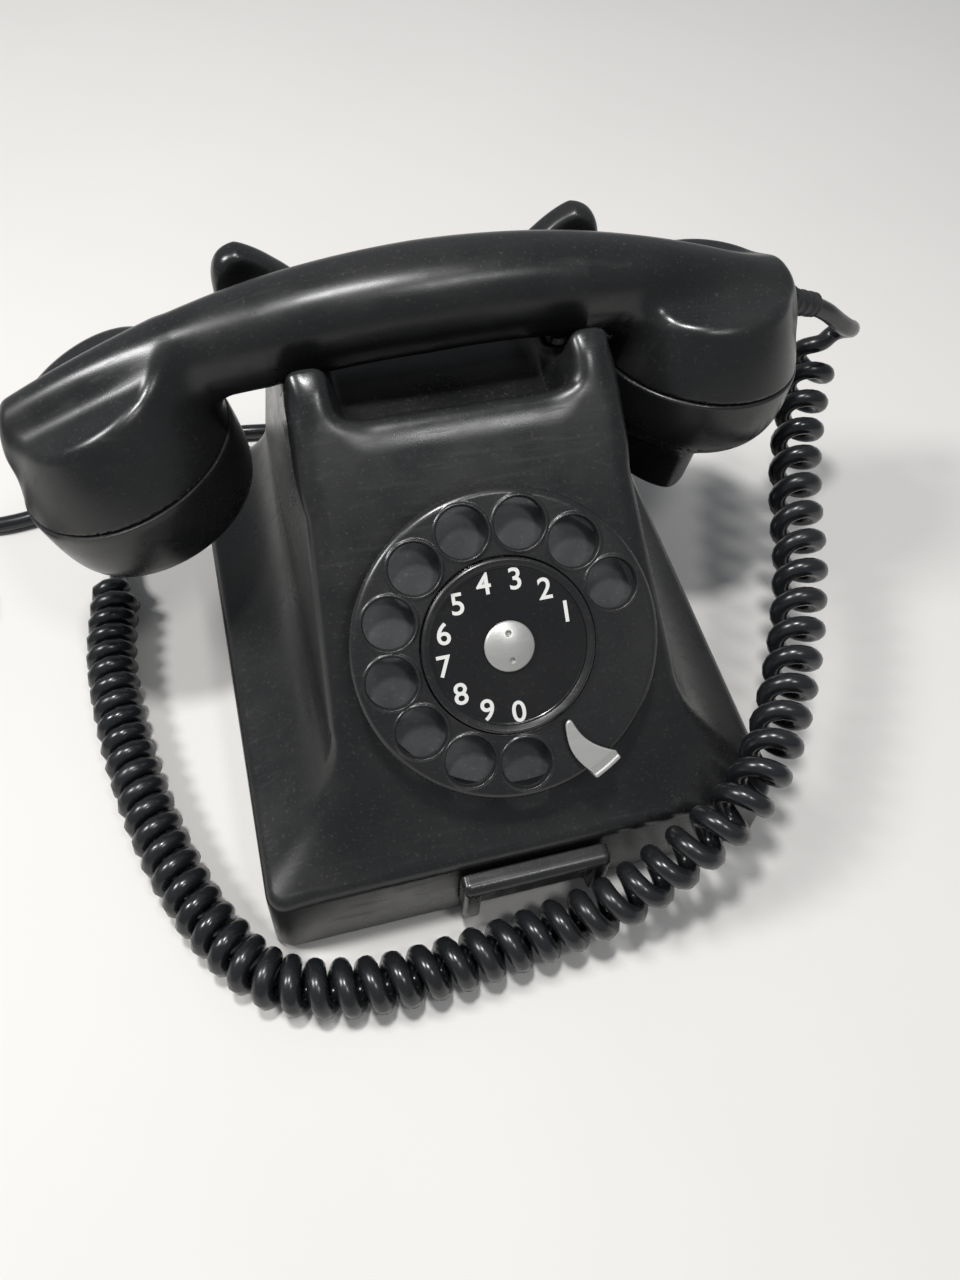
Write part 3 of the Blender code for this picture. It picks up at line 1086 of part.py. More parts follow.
def make_gland(name, x, radius, wire):
    """Stepped rubber bush in the rear wall, tapered outside."""
    wall_out = REAR_Y + 0.0008
    wall_in = wall_out - WALL - 0.0010
    profile = [(0, -0.0050), (radius * 0.9, -0.0050), (radius * 0.9, 0.0), (radius, 0.0),
               (radius, wall_out - wall_in), (radius * 1.25, wall_out - wall_in + SEAT_GAP),
               (radius * 1.25, wall_out - wall_in + 0.0020), (wire / 2 + 0.0010, GLAND_LENGTH + WALL),
               (0, GLAND_LENGTH + WALL)]
    mesh = turned(profile, SMALL_ROUND)
    mesh.transform(Matrix.Rotation(math.radians(-90), 4, "X"))
    add_piece(name, mesh, "rubber", location=(x, wall_in, CORD_EXIT_HEIGHT))
    return wall_in + GLAND_LENGTH + WALL


def make_cords():
    curly_out = make_gland("curly_gland", CURLY_EXIT_X, CURLY_GLAND_RADIUS, WIRE_DIAMETER)
    line_out = make_gland("line_gland", LINE_EXIT_X, LINE_GLAND_RADIUS, LINE_DIAMETER)
    add_tube("curly_cord", CURLY_ROUTE, CURLY_DIAMETER, CURLY_DIAMETER, 3)
    lower_lead = [
        (CURLY_EXIT_X, curly_out + 6 * SEAT_GAP, CORD_EXIT_HEIGHT), (CURLY_EXIT_X, curly_out + 0.006, 0.0182),
        (-0.065, 0.1085, 0.0110), (-0.080, 0.1105, 0.0050), (-0.094, 0.1050, LEAD_REST),
        (-0.1050, 0.0930, LEAD_REST), (-0.1105, 0.0780, 0.0050), (-0.1108, 0.0670, 0.0088),
        (-0.1118, 0.0572, CURLY_REST),
    ]
    add_tube("curly_cord_base_lead", lower_lead, WIRE_DIAMETER, WIRE_DIAMETER * 1.8)
    add_tube("curly_cord_handset_lead", UPPER_LEAD_ROUTE, WIRE_DIAMETER, WIRE_DIAMETER * 1.8)
    coil_y = 0.0945 - COIL_TURN_RADIUS
    outer_turn = COIL_TURN_RADIUS + LINE_DIAMETER
    meet = math.sqrt((COIL_TURN_RADIUS + COIL_BAND / 2) ** 2 - (outer_turn - LINE_DIAMETER / 2) ** 2)
    line_route = [
        (LINE_EXIT_X, line_out + 6 * SEAT_GAP, CORD_EXIT_HEIGHT), (LINE_EXIT_X, line_out + 0.008, 0.0172),
        (-0.0320, 0.1175, 0.0095), (-0.0470, 0.1240, 0.0040), (-0.0660, 0.1265, LINE_REST),
        (-0.0900, 0.1225, LINE_REST), (-0.1130, 0.1110, LINE_REST), (-0.1320, 0.1015, LINE_REST),
        (-0.1500, 0.0980, LINE_REST), (-0.1640, 0.0990, LINE_REST),
        (COIL_X + meet + 4 * SEAT_GAP, coil_y + outer_turn, LINE_REST + SEAT_GAP),
    ]
    add_tube("line_cord", line_route, LINE_DIAMETER, LINE_DIAMETER * 2.2)
    make_stored_coil(coil_y, meet)


def make_stored_coil(coil_y, meet):
    """Neat coil of the line cord with its tie and its plug."""
    half_band, low, high = COIL_BAND / 2, TIE_THICKNESS + 0.0006, TIE_THICKNESS + 0.0006 + COIL_LAYERS
    soft = 0.0025
    inner, outer = COIL_TURN_RADIUS - half_band, COIL_TURN_RADIUS + half_band
    ring = [(inner + soft, low), (outer - soft, low), (outer, low + soft), (outer, high - soft),
            (outer - soft, high), (inner + soft, high), (inner, high - soft), (inner, low + soft)]
    add_piece("line_cord_coil", turned(ring, 36), "rubber", location=(COIL_X, coil_y, 0))
    make_tie(coil_y, low, high)
    tail_x = COIL_X - COIL_TURN_RADIUS
    start_x = tail_x - LINE_DIAMETER
    tail_start = coil_y - meet - 4 * SEAT_GAP
    tail_end = coil_y - COIL_TURN_RADIUS - 2 * LINE_DIAMETER
    tail = [(start_x, tail_start, LINE_REST + LINE_DIAMETER), (start_x * 0.75 + tail_x * 0.25, tail_start - 0.010, 0.0083),
            (tail_x, tail_end + 0.005, 0.0075), (tail_x, tail_end, 0.0075)]
    add_tube("line_cord_tail", tail, LINE_DIAMETER, LINE_DIAMETER * 1.2)
    make_plug(tail_x, tail_end - 4 * SEAT_GAP)


def make_tie(coil_y, low, high):
    """Strap round the wound bundle."""
    reach_in = COIL_TURN_RADIUS - COIL_BAND / 2 - SEAT_GAP
    reach_out = COIL_TURN_RADIUS + COIL_BAND / 2 + SEAT_GAP
    sheet = TIE_THICKNESS
    bm = bmesh.new()
    rows = []
    for y in (-TIE_WIDTH / 2, TIE_WIDTH / 2):
        bulge = (TIE_WIDTH / 2) ** 2 / (2 * reach_in)
        near, far = reach_in - bulge, reach_out
        base = low - SEAT_GAP
        roof = high + SEAT_GAP
        outline = [(near - sheet, base - sheet), (far + sheet, base - sheet), (far + sheet, roof + sheet),
                   (near - sheet, roof + sheet)]
        hole = [(near, base), (far, base), (far, roof), (near, roof)]
        rows.append(([bm.verts.new((u, y, v)) for u, v in outline], [bm.verts.new((u, y, v)) for u, v in hole]))
    (out_a, in_a), (out_b, in_b) = rows
    for i in range(4):
        j = (i + 1) % 4
        bm.faces.new((out_a[i], out_a[j], in_a[j], in_a[i]))
        bm.faces.new((out_b[i], in_b[i], in_b[j], out_b[j]))
        bm.faces.new((out_a[i], out_b[i], out_b[j], out_a[j]))
        bm.faces.new((in_a[i], in_a[j], in_b[j], in_b[i]))
    bmesh.ops.recalc_face_normals(bm, faces=bm.faces)
    add_piece("cord_tie", to_mesh(bm), "rubber", location=(COIL_X, coil_y, 0))


def make_plug(x, y):
    """Telephone plug that lies on the table beside the coil, with four pins."""
    body = block((PLUG_WIDTH, PLUG_LENGTH, PLUG_HEIGHT), (0, -PLUG_LENGTH / 2, PLUG_HEIGHT / 2), 0.0022)
    add_piece("plug", body, "bakelite", location=(x, y, 0.0))
    front = y - PLUG_LENGTH - SEAT_GAP
    sheet = PIN_RADIUS
    carrier = block((PIN_SPACING + 4 * PIN_RADIUS, sheet, PIN_ROW_SPACING + 3 * PIN_RADIUS),
                    (x, front - sheet / 2, PLUG_HEIGHT / 2), SEAT_GAP)
    pins = add_piece("plug_pins", carrier, "brass")
    for side in (-1, 1):
        for row in (-1, 1):
            px, pz = x + side * PIN_SPACING / 2, (PLUG_HEIGHT + row * PIN_ROW_SPACING) / 2
            pin = rod((px, front - sheet / 2, pz), (px, front - sheet / 2 - PIN_LENGTH, pz), PIN_RADIUS, 12)
            combine(pins, cutter(f"plug_pin_{side:+d}_{row:+d}", pin), "UNION")


def main():
    clear_scene()
    make_housing()
    make_base()
    make_dial()
    make_cradle_switch()
    make_ringer()
    make_circuit()
    make_handset()
    make_cords()


main()
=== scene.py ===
"""Looks of the rotary desk telephone: its moulded case, dial, handset and cords, with floor, lamps and camera.

Run after the part is packed.  Every length is in metres, in the part's own frame: +X to the
right of a person who faces the dial, +Y towards the back and +Z up from the table.
"""
import math

import bmesh
import bpy
import numpy as np
from bpy.props import FloatProperty, FloatVectorProperty, IntProperty, PointerProperty
from mathutils import Matrix, Vector


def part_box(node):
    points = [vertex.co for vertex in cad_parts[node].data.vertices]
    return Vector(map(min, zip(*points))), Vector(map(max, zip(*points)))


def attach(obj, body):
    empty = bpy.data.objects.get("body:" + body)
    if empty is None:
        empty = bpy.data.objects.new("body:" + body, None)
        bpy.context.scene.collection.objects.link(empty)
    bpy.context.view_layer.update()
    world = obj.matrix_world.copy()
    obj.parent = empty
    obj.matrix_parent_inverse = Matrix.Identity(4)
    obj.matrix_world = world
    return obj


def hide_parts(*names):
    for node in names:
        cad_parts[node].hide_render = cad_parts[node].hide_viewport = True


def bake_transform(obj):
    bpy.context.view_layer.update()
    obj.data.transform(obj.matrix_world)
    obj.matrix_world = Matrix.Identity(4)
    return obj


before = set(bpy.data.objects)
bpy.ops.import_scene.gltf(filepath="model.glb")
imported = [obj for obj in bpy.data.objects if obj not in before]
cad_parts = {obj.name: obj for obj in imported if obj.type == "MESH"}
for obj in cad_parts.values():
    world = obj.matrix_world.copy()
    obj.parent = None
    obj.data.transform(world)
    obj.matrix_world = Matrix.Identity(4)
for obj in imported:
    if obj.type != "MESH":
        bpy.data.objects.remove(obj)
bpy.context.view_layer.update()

bl_info = {
    "name": "Rotary Desk Telephone",
    "version": (1, 0, 0),
    "blender": (4, 5, 0),
    "location": "View3D > Sidebar > Telephone",
    "description": "Dresses the packed parts of a black rotary desk telephone",
    "category": "Object",
}

WIRE_DIAMETER = 0.006
CURL_DIAMETER = 0.0184
LINE_DIAMETER = 0.0058
HANDSET_CORD_X = -0.058      # where the handset cord leaves the case
LINE_CORD_X = -0.025         # where the line cord leaves it


# ------------------------------------------------------------------ properties

def length(name, text, default):
    return FloatProperty(name=name, description=text, default=default, unit="LENGTH", precision=5)


def angle(name, text, degrees):
    return FloatProperty(name=name, description=text, default=math.radians(degrees), unit="ROTATION")


def share(name, text, default):
    return FloatProperty(name=name, description=text, default=default, min=0, max=1, subtype="FACTOR")


def colour(name, text, default):
    return FloatVectorProperty(name=name, description=text, default=default, subtype="COLOR", min=0, max=1)


class CaseSettings(bpy.types.PropertyGroup):
    """Sizes of the moulded case."""
    plinth_width: length("Plinth width", "Across the plinth's top edge", 0.152)
    plinth_depth: length("Plinth depth", "Front to back at the plinth's top edge", 0.169)
    plinth_top: length("Plinth height", "Height of the plinth's top edge", 0.0326)
    draft: length("Draft", "How much wider each side is at the rim", 0.001)
    rim: length("Rim height", "Gap between the rim and the table", 0.0025)
    face_angle: angle("Face angle", "Slope of the dial face", 41.6)
    ledge_y: length("Ledge place", "Top edge of the sloping face, along Y", 0.0102)
    ledge_height: length("Ledge height", "Height of the top edge of the face", 0.1155)
    neck_width: length("Neck width", "Across the flanks at the ledge", 0.087)
    neck_foot_width: length("Neck foot width", "Across the flanks above the flare", 0.101)
    neck_foot_height: length("Flare height", "Height where the flare ends", 0.060)
    wall: length("Wall", "Thickness of the moulding", 0.0035)
    ridge_softness: length("Ridge softness", "Rounding between face and flanks", 0.0062)
    edge_softness: length("Edge softness", "Rounding of the other outer edges", 0.0026)
    mesh_step: length("Mesh step", "Grid that the case is skinned on", 0.00105)


class DialSettings(bpy.types.PropertyGroup):
    """Sizes of the dial."""
    centre_y: length("Dial place", "Middle of the wheel's front, along Y", -0.0457)
    centre_height: length("Dial height", "Height of the middle of the wheel's front", 0.082)
    wheel_radius: length("Wheel radius", "Finger wheel, to its rim", 0.0419)
    wheel_thickness: length("Wheel thickness", "Finger wheel, front to back", 0.0028)
    ring_radius: length("Hole circle", "Circle through the finger holes", 0.0325)
    hole_radius: length("Hole radius", "Each finger hole", 0.00675)
    hole_step: angle("Hole spacing", "Angle between finger holes", 360 / 13)
    first_hole: angle("First hole", "Angle of hole 1 from the wheel's right", 20.4)
    hole_count: IntProperty(name="Holes", description="Number of finger holes", default=10)
    label_radius: length("Label radius", "Disc that carries the digits", 0.0236)
    digit_radius: length("Digit circle", "Circle through the digits", 0.0180)
    digit_height: length("Digit height", "Height of a digit", 0.0059)
    cap_radius: length("Cap radius", "Nut in the middle", 0.0071)
    stop_angle: angle("Stop angle", "Finger stop from the wheel's right", -61)
    mesh_step: length("Mesh step", "Grid that the wheel is skinned on", 0.00042)


class HandsetSettings(bpy.types.PropertyGroup):
    """Sizes of the handset."""
    handle_y: length("Handle place", "Middle of the cups, along Y", 0.0423)
    top: length("Handle top", "Highest line of the handle, at its middle", 0.1378)
    arch: length("Arch radius", "Radius of the handle's back", 0.270)
    rise: share("Rise", "Slope of the handle towards the mouth cup", 0.018)
    roll: angle("Roll", "Lean of the handset in its cradle, backwards", -6)
    roll_height: length("Roll height", "Height that the handset leans about", 0.0908)
    cup_radius: length("Cup radius", "Each cup at its seam", 0.0323)
    ear_x: length("Ear place", "Ear cup along X", -0.0916)
    ear_seam: length("Ear seam", "Height of the ear cup's seam", 0.0865)
    ear_tilt: angle("Ear tilt", "Lean of the ear cup", -15.6)
    ear_floor: length("Ear floor", "Height of the flat top of the ear cup", 0.1121)
    mouth_x: length("Mouth place", "Mouth cup along X", 0.0842)
    mouth_seam: length("Mouth seam", "Height of the mouth cup's seam", 0.0946)
    mouth_tilt: angle("Mouth tilt", "Lean of the mouth cup", 6)
    mouth_floor: length("Mouth floor", "Height of the flat top of the mouth cup", 0.1164)
    mesh_step: length("Mesh step", "Grid that the handset is skinned on", 0.0009)


class CordSettings(bpy.types.PropertyGroup):
    """Sizes of both cords."""
    wire: length("Curly wire", "Diameter of the handset cord's wire", WIRE_DIAMETER)
    curl: length("Curl", "Outer diameter of the curly stretch", CURL_DIAMETER)
    turns: IntProperty(name="Turns", description="Turns of the curly stretch", default=57)
    line: length("Line cord", "Diameter of the line cord", LINE_DIAMETER)
    coil_radius: length("Coil radius", "Middle of the line cord's stored turns", 0.032)
    coil_x: length("Coil place", "Middle of the stored coil, along X", -0.206)
    tube_sides: IntProperty(name="Tube sides", description="Sides of a cord's tube", default=14)


class FinishSettings(bpy.types.PropertyGroup):
    """Colours and gloss."""
    bakelite: colour("Bakelite", "Black moulding", (0.0085, 0.0088, 0.0090))
    bakelite_roughness: share("Bakelite roughness", "Polished but worn moulding", 0.29)
    enamel: colour("Enamel", "Black wheel and label", (0.0110, 0.0112, 0.0116))
    enamel_roughness: share("Enamel roughness", "Stoved enamel", 0.27)
    digit: colour("Digits", "Printed digits", (0.66, 0.66, 0.63))
    plate: colour("Grey plate", "Disc behind the finger holes", (0.036, 0.039, 0.042))
    nickel: colour("Dull metal", "Centre nut and finger stop", (0.46, 0.46, 0.44))
    cord: colour("Cord", "Black cord sheath", (0.0098, 0.0105, 0.0120))
    cord_roughness: share("Cord roughness", "Smooth sheath", 0.24)
    dust: colour("Dust", "Settled dust", (0.26, 0.24, 0.21))


class StageSettings(bpy.types.PropertyGroup):
    """Camera, lamps and floor."""
    camera_place: FloatVectorProperty(name="Camera", description="Camera's place", subtype="TRANSLATION",
                                      unit="LENGTH", default=(-0.0540, -0.1835, 0.3095))
    azimuth: angle("Azimuth", "Heading of the view from +Y towards +X", 18.37)
    down: angle("Down", "How far the view points below the horizon", 56.78)
    roll: angle("Roll", "Turn of the picture", -4.39)
    lens: FloatProperty(name="Lens", description="Focal length in mm on a frame 36 mm high", default=28.8)
    floor: colour("Floor", "Pale floor", (0.66, 0.645, 0.62))


SETTINGS = (("phone_case", CaseSettings), ("phone_dial", DialSettings), ("phone_handset", HandsetSettings),
            ("phone_cords", CordSettings), ("phone_finish", FinishSettings), ("phone_stage", StageSettings))


# ------------------------------------------------------- fields and their skins

def soft_min(a, b, k):
    """Union of two fields with a fillet of about k."""
    h = np.maximum(k - np.abs(a - b), 0) / k
    return np.minimum(a, b) - h * h * k * 0.25


def soft_max(a, b, k):
    """Common part of two fields with an edge rounded by about k."""
    return -soft_min(-a, -b, k)


def soft_cut(a, b, k):
    """Field a with b taken away, its new edges rounded by about k."""
    return soft_max(a, -b, k)


def rounded_box(px, py, half_x, half_y, radius):
    """Distance to a rectangle with round corners, in a plane."""
    qx, qy = np.abs(px) - (half_x - radius), np.abs(py) - (half_y - radius)
    return np.hypot(np.maximum(qx, 0), np.maximum(qy, 0)) + np.minimum(np.maximum(qx, qy), 0) - radius


def slope(field, points, reach):
    """Gradient of a field at many points."""
    columns = []
    for axis in range(3):
        shift = np.zeros(3)
        shift[axis] = reach
        columns.append((field(*(points + shift).T) - field(*(points - shift).T)) / (2 * reach))
    return np.stack(columns, 1)


def skin(name, field, low, high, step):
    """Smooth mesh of the surface where a field is zero, with the field's own normals."""
    axes = [np.arange(a, b + step, step) for a, b in zip(low, high)]
    values = np.stack([field(u, axes[1][:, None], axes[2][None, :]) + 0 * axes[1][:, None] * axes[2][None, :]
                       for u in axes[0]])
    inside = values < 0
    strides = np.array([values.shape[1] * values.shape[2], values.shape[2], 1])
    corners, crossings = [], []
    for axis in range(3):
        near, far = [slice(None)] * 3, [slice(None)] * 3
        near[axis], far[axis] = slice(0, -1), slice(1, None)
        at = np.argwhere(inside[tuple(near)] != inside[tuple(far)])
        after = at.copy()
        after[:, axis] += 1
        one, two = values[tuple(at.T)], values[tuple(after.T)]
        point = at.astype(float)
        point[:, axis] += one / (one - two)
        u, v = (axis + 1) % 3, (axis + 2) % 3
        around = []
        for du, dv in ((0, 0), (1, 0), (1, 1), (0, 1)):
            cell = at.copy()
            cell[:, u] -= du
            cell[:, v] -= dv
            around.append(cell @ strides)
        around = np.stack(around, 1)
        around[one >= 0] = around[one >= 0][:, ::-1]
        corners.append(around)
        crossings.append(np.repeat(point, 4, axis=0))
    corners, crossings = np.concatenate(corners), np.concatenate(crossings)
    _, faces = np.unique(corners.ravel(), return_inverse=True)
    count = np.bincount(faces)
    points = np.stack([np.bincount(faces, weights=crossings[:, i]) for i in range(3)], 1) / count[:, None]
    points = np.array(low) + points * step
    for _ in range(5):
        gradient = slope(field, points, step * 0.15)
        size = np.maximum((gradient ** 2).sum(1), 1e-9)
        move = gradient * (field(*points.T) / size)[:, None]
        length_moved = np.maximum(np.linalg.norm(move, axis=1), 1e-12)
        points -= move * np.minimum(1, step * 0.5 / length_moved)[:, None]
    normals = slope(field, points, step * 0.3)
    normals /= np.maximum(np.linalg.norm(normals, axis=1), 1e-9)[:, None]
    mesh = bpy.data.meshes.new(name)
    mesh.from_pydata(points.tolist(), [], faces.reshape(-1, 4).tolist())
    mesh.shade_smooth()
    mesh.normals_split_custom_set_from_vertices(normals.tolist())
    return mesh


# ----------------------------------------------------------------- mesh helpers

def linked(name, data):
    """New object of some data, linked to the scene."""
    made = bpy.data.objects.new(name, data)
    bpy.context.scene.collection.objects.link(made)
    return made


def settle(bm, mesh, sharp):
    """Write a bmesh with outward normals into a mesh, smooth but for edges over so many degrees."""
    bmesh.ops.recalc_face_normals(bm, faces=bm.faces)
    bm.to_mesh(mesh)
    bm.free()
    mesh.shade_smooth()
    mesh.set_sharp_from_angle(angle=math.radians(sharp))
    return mesh


def add_piece(name, mesh, body, finish, replaced=(), matrix=None):
    """Object of one mesh that rides on a body and stands for its CAD nodes."""
    piece = linked(name, mesh)
    if matrix is not None:
        piece.matrix_world = matrix
    piece.data.materials.clear()
    piece.data.materials.append(worn_material(finish))
    if body:
        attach(piece, body)
    if replaced:
        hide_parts(*replaced)
    return piece


def turned(name, profile, steps):
    """Solid of revolution about Z from a closed outline of (radius, height) points."""
    mesh = bpy.data.meshes.new(name)
    bm = bmesh.new()
    columns = []
    for radius, height in profile:
        turn = [2 * math.pi * i / steps for i in range(steps)] if radius > 1e-7 else [0]
        columns.append([bm.verts.new((radius * math.cos(a), radius * math.sin(a), height)) for a in turn])
    for one, two in zip(columns, columns[1:] + columns[:1]):
        if len(one) == 1 and len(two) == 1:
            continue
        for i in range(steps):
            j = (i + 1) % steps
            ring = [one[i % len(one)], one[j % len(one)], two[j % len(two)], two[i % len(two)]]
            bm.faces.new(list(dict.fromkeys(ring)))
    return settle(bm, mesh, 40)


ARC_PARTS = 4                # straight parts of a rounded corner


def rounded_profile(points, radius):
    """Closed outline with each corner replaced by a short arc; corners on the axis stay."""
    rounded = []
    for i, corner in enumerate(points):
        before, after = Vector(points[i - 1]), Vector(points[(i + 1) % len(points)])
        corner = Vector(corner)
        reach = min(radius, (before - corner).length * 0.45, (after - corner).length * 0.45)
        if corner.x < 1e-7 or reach < 1e-6:
            rounded.append(tuple(corner))
            continue
        start = corner + (before - corner).normalized() * reach
        end = corner + (after - corner).normalized() * reach
        for k in range(ARC_PARTS + 1):
            t = k / ARC_PARTS
            rounded.append(tuple(start.lerp(corner, t).lerp(corner.lerp(end, t), t)))
    return rounded


def smooth_line(points, count):
    """Evenly spaced points on a smooth curve through a few points."""
    path = np.array(points, float)
    path = np.vstack([2 * path[0] - path[1], path, 2 * path[-1] - path[-2]])
    t = np.linspace(0, 1, 24, endpoint=False)[:, None]
    pieces = []
    for a, b, c, d in zip(path, path[1:], path[2:], path[3:]):
        pieces.append(0.5 * (2 * b + (c - a) * t + (2 * a - 5 * b + 4 * c - d) * t ** 2
                             + (3 * b - a - 3 * c + d) * t ** 3))
    fine = np.vstack([*pieces, path[-2:-1]])
    along = np.concatenate([[0], np.cumsum(np.linalg.norm(np.diff(fine, axis=0), axis=1))])
    marks = np.linspace(0, along[-1], count)
    return np.stack([np.interp(marks, along, fine[:, i]) for i in range(fine.shape[1])], 1)


def frames_along(points):
    """Two steady sideways axes along a line."""
    ahead = np.gradient(points, axis=0)
    ahead /= np.linalg.norm(ahead, axis=1)[:, None]
    side = np.cross(ahead[0], (0, 0, 1.0))
    if np.linalg.norm(side) < 1e-6:
        side = np.cross(ahead[0], (0, 1.0, 0))
    sides = []
    for direction in ahead:
        side = side - direction * np.dot(side, direction)
        side = side / np.linalg.norm(side)
        sides.append(side)
    sides = np.array(sides)
    return sides, np.cross(ahead, sides)


def tube(name, points, radius, sides):
    """Round tube along a line, with flat ends; radius may vary along it."""
    points = np.asarray(points, float)
    across, up = frames_along(points)
    radii = np.broadcast_to(np.asarray(radius, float), (len(points),))
    turn = np.linspace(0, 2 * math.pi, sides, endpoint=False)
    rings = (points[:, None, :] + radii[:, None, None] * (np.cos(turn)[None, :, None] * across[:, None, :]
                                                         + np.sin(turn)[None, :, None] * up[:, None, :]))
    verts = rings.reshape(-1, 3).tolist()
    faces = []
    for i in range(len(points) - 1):
        for j in range(sides):
            k = (j + 1) % sides
            faces.append((i * sides + j, i * sides + k, (i + 1) * sides + k, (i + 1) * sides + j))
    last = (len(points) - 1) * sides
    faces.append(tuple(reversed(range(sides))))
    faces.append(tuple(last + j for j in range(sides)))
    mesh = bpy.data.meshes.new(name)
    mesh.from_pydata(verts, [], faces)
    bm = bmesh.new()
    bm.from_mesh(mesh)
    return settle(bm, mesh, 50)


def dial_matrix(dial, case):
    """Frame of the dial: its origin in the wheel's front face, its Z out of the face."""
    return (Matrix.Translation((0, dial.centre_y, dial.centre_height))
            @ Matrix.Rotation(case.face_angle, 4, "X"))


# -------------------------------------------------------------------- materials

class Nodes:
    """Short way to add and wire shader nodes in one tree."""

    def __init__(self, tree):
        self.tree = tree

    def add(self, kind, inputs=None, **settings):
        node = self.tree.nodes.new(kind)
        for key, value in settings.items():
            setattr(node, key, value)
        for key, value in (inputs or {}).items():
            socket = node.inputs[key]
            if isinstance(value, bpy.types.NodeSocket):
                self.tree.links.new(value, socket)
            else:
                socket.default_value = value
        return node

    def link(self, source, target):
        self.tree.links.new(source, target)

    def math(self, operation, one, two=0.0, clamp=False):
        return self.add("ShaderNodeMath", {0: one, 1: two}, operation=operation, use_clamp=clamp).outputs[0]

    def blend(self, factor, one, two):
        node = self.add("ShaderNodeMix", {"Factor": factor, 6: one, 7: two}, data_type="RGBA")
        return node.outputs[2]

    def noise(self, place, scale, **more):
        return self.add("ShaderNodeTexNoise", {"Vector": place, "Scale": scale, **more}).outputs[0]

    def ramp(self, value, low, high):
        """Value stretched so that low gives 0 and high gives 1."""
        return self.add("ShaderNodeMapRange", {"Value": value, "From Min": low, "From Max": high},
                        clamp=True).outputs["Result"]


def worn_group():
    """Dust, handling marks and rubbed edges, shared by the moulded and painted finishes."""
    name = "Handled surface"
    if name in bpy.data.node_groups:
        return bpy.data.node_groups[name]
    group = bpy.data.node_groups.new(name, "ShaderNodeTree")
    for socket, default in (("Dust Amount", 0.3), ("Mark Size", 900.0), ("Edge Rub", 0.5)):
        item = group.interface.new_socket(socket, in_out="INPUT", socket_type="NodeSocketFloat")
        item.default_value = default
    for socket in ("Dust", "Rub", "Gloss Change", "Height"):
        group.interface.new_socket(socket, in_out="OUTPUT", socket_type="NodeSocketFloat")
    n = Nodes(group)
    given, made = n.add("NodeGroupInput"), n.add("NodeGroupOutput")
    place = n.add("ShaderNodeTexCoord").outputs["Object"]
    cloud = n.noise(place, 38.0, Detail=6.0, Roughness=0.62)
    speck = n.noise(place, given.outputs["Mark Size"], Detail=2.0, Roughness=0.7)
    grain = n.noise(place, 2600.0, Detail=1.0)
    stretched = n.add("ShaderNodeMapping", {"Vector": place, "Scale": (60.0, 700.0, 260.0),
                                            "Rotation": (0.3, 0.5, 0.9)}).outputs[0]
    streak = n.noise(stretched, 1.0, Detail=3.0)
    surface = n.add("ShaderNodeNewGeometry").outputs
    up = n.add("ShaderNodeSeparateXYZ", {"Vector": surface["Normal"]}).outputs["Z"]
    lying = n.ramp(up, -0.1, 0.95)
    flecks = n.ramp(speck, 0.60, 0.74)
    film = n.math("MULTIPLY", n.ramp(cloud, 0.36, 0.72), 0.22)
    dust = n.math("MULTIPLY", n.math("ADD", flecks, film), lying)
    n.link(n.math("MULTIPLY", dust, given.outputs["Dust Amount"], clamp=True), made.inputs["Dust"])
    rub = n.math("MULTIPLY", n.ramp(surface["Pointiness"], 0.525, 0.60), n.ramp(cloud, 0.30, 0.62))
    n.link(n.math("MULTIPLY", rub, given.outputs["Edge Rub"], clamp=True), made.inputs["Rub"])
    change = n.math("ADD", n.math("MULTIPLY", n.math("SUBTRACT", cloud, 0.5), 0.36),
                    n.math("MULTIPLY", n.ramp(streak, 0.56, 0.72), 0.10))
    n.link(change, made.inputs["Gloss Change"])
    height = n.math("ADD", n.math("MULTIPLY", grain, 0.35), n.math("MULTIPLY", streak, 0.25))
    n.link(height, made.inputs["Height"])
    return group


def new_material(name):
    material = bpy.data.materials.get(name)
    if material:
        return material, None, None
    material = bpy.data.materials.new(name)
    material.use_nodes = True
    return material, Nodes(material.node_tree), material.node_tree.nodes["Principled BSDF"]


# Colour and roughness, or the settings that hold them, and the wear of each finish.
FINISHES = {
    "Black bakelite": ("bakelite", "bakelite_roughness", dict(dust=0.10, edge=0.55, bump=0.05)),
    "Black enamel": ("enamel", "enamel_roughness", dict(dust=0.10, edge=0.25, bump=0.04)),
    "Label lacquer": ((0.0075, 0.0075, 0.0078), 0.16, dict(dust=0.05, edge=0.0, bump=0.01)),
    "Digit paint": ("digit", 0.5, dict(dust=0.0, edge=0.0, bump=0.05)),
    "Dull nickel": ("nickel", 0.40,
                    dict(dust=0.10, edge=0.3, bump=0.12, metallic=0.55, rubbed=(0.62, 0.61, 0.58))),
    "Grey plate": ("plate", 0.46, dict(dust=0.25, edge=0.2, bump=0.10)),
    "Cord sheath": ("cord", "cord_roughness", dict(dust=0.05, edge=0.0, bump=0.03, marks=1500.0)),
    "Bush rubber": ((0.013, 0.013, 0.014), 0.5, dict(dust=0.2, edge=0.2, bump=0.15)),
    "Plated steel": ((0.52, 0.52, 0.53), 0.34,
                     dict(dust=0.1, edge=0.3, bump=0.08, metallic=1.0, rubbed=(0.7, 0.7, 0.7))),
    "Bare brass": ((0.62, 0.44, 0.17), 0.33,
                   dict(dust=0.1, edge=0.3, bump=0.06, metallic=1.0, rubbed=(0.8, 0.62, 0.3))),
    "Wound wire": ((0.42, 0.15, 0.06), 0.42,
                   dict(dust=0.1, edge=0.2, bump=0.2, metallic=0.85, rubbed=(0.6, 0.3, 0.15))),
    "Brown fibre": ((0.15, 0.055, 0.028), 0.62, dict(dust=0.15, edge=0.3, bump=0.2, rubbed=(0.25, 0.12, 0.07))),
}


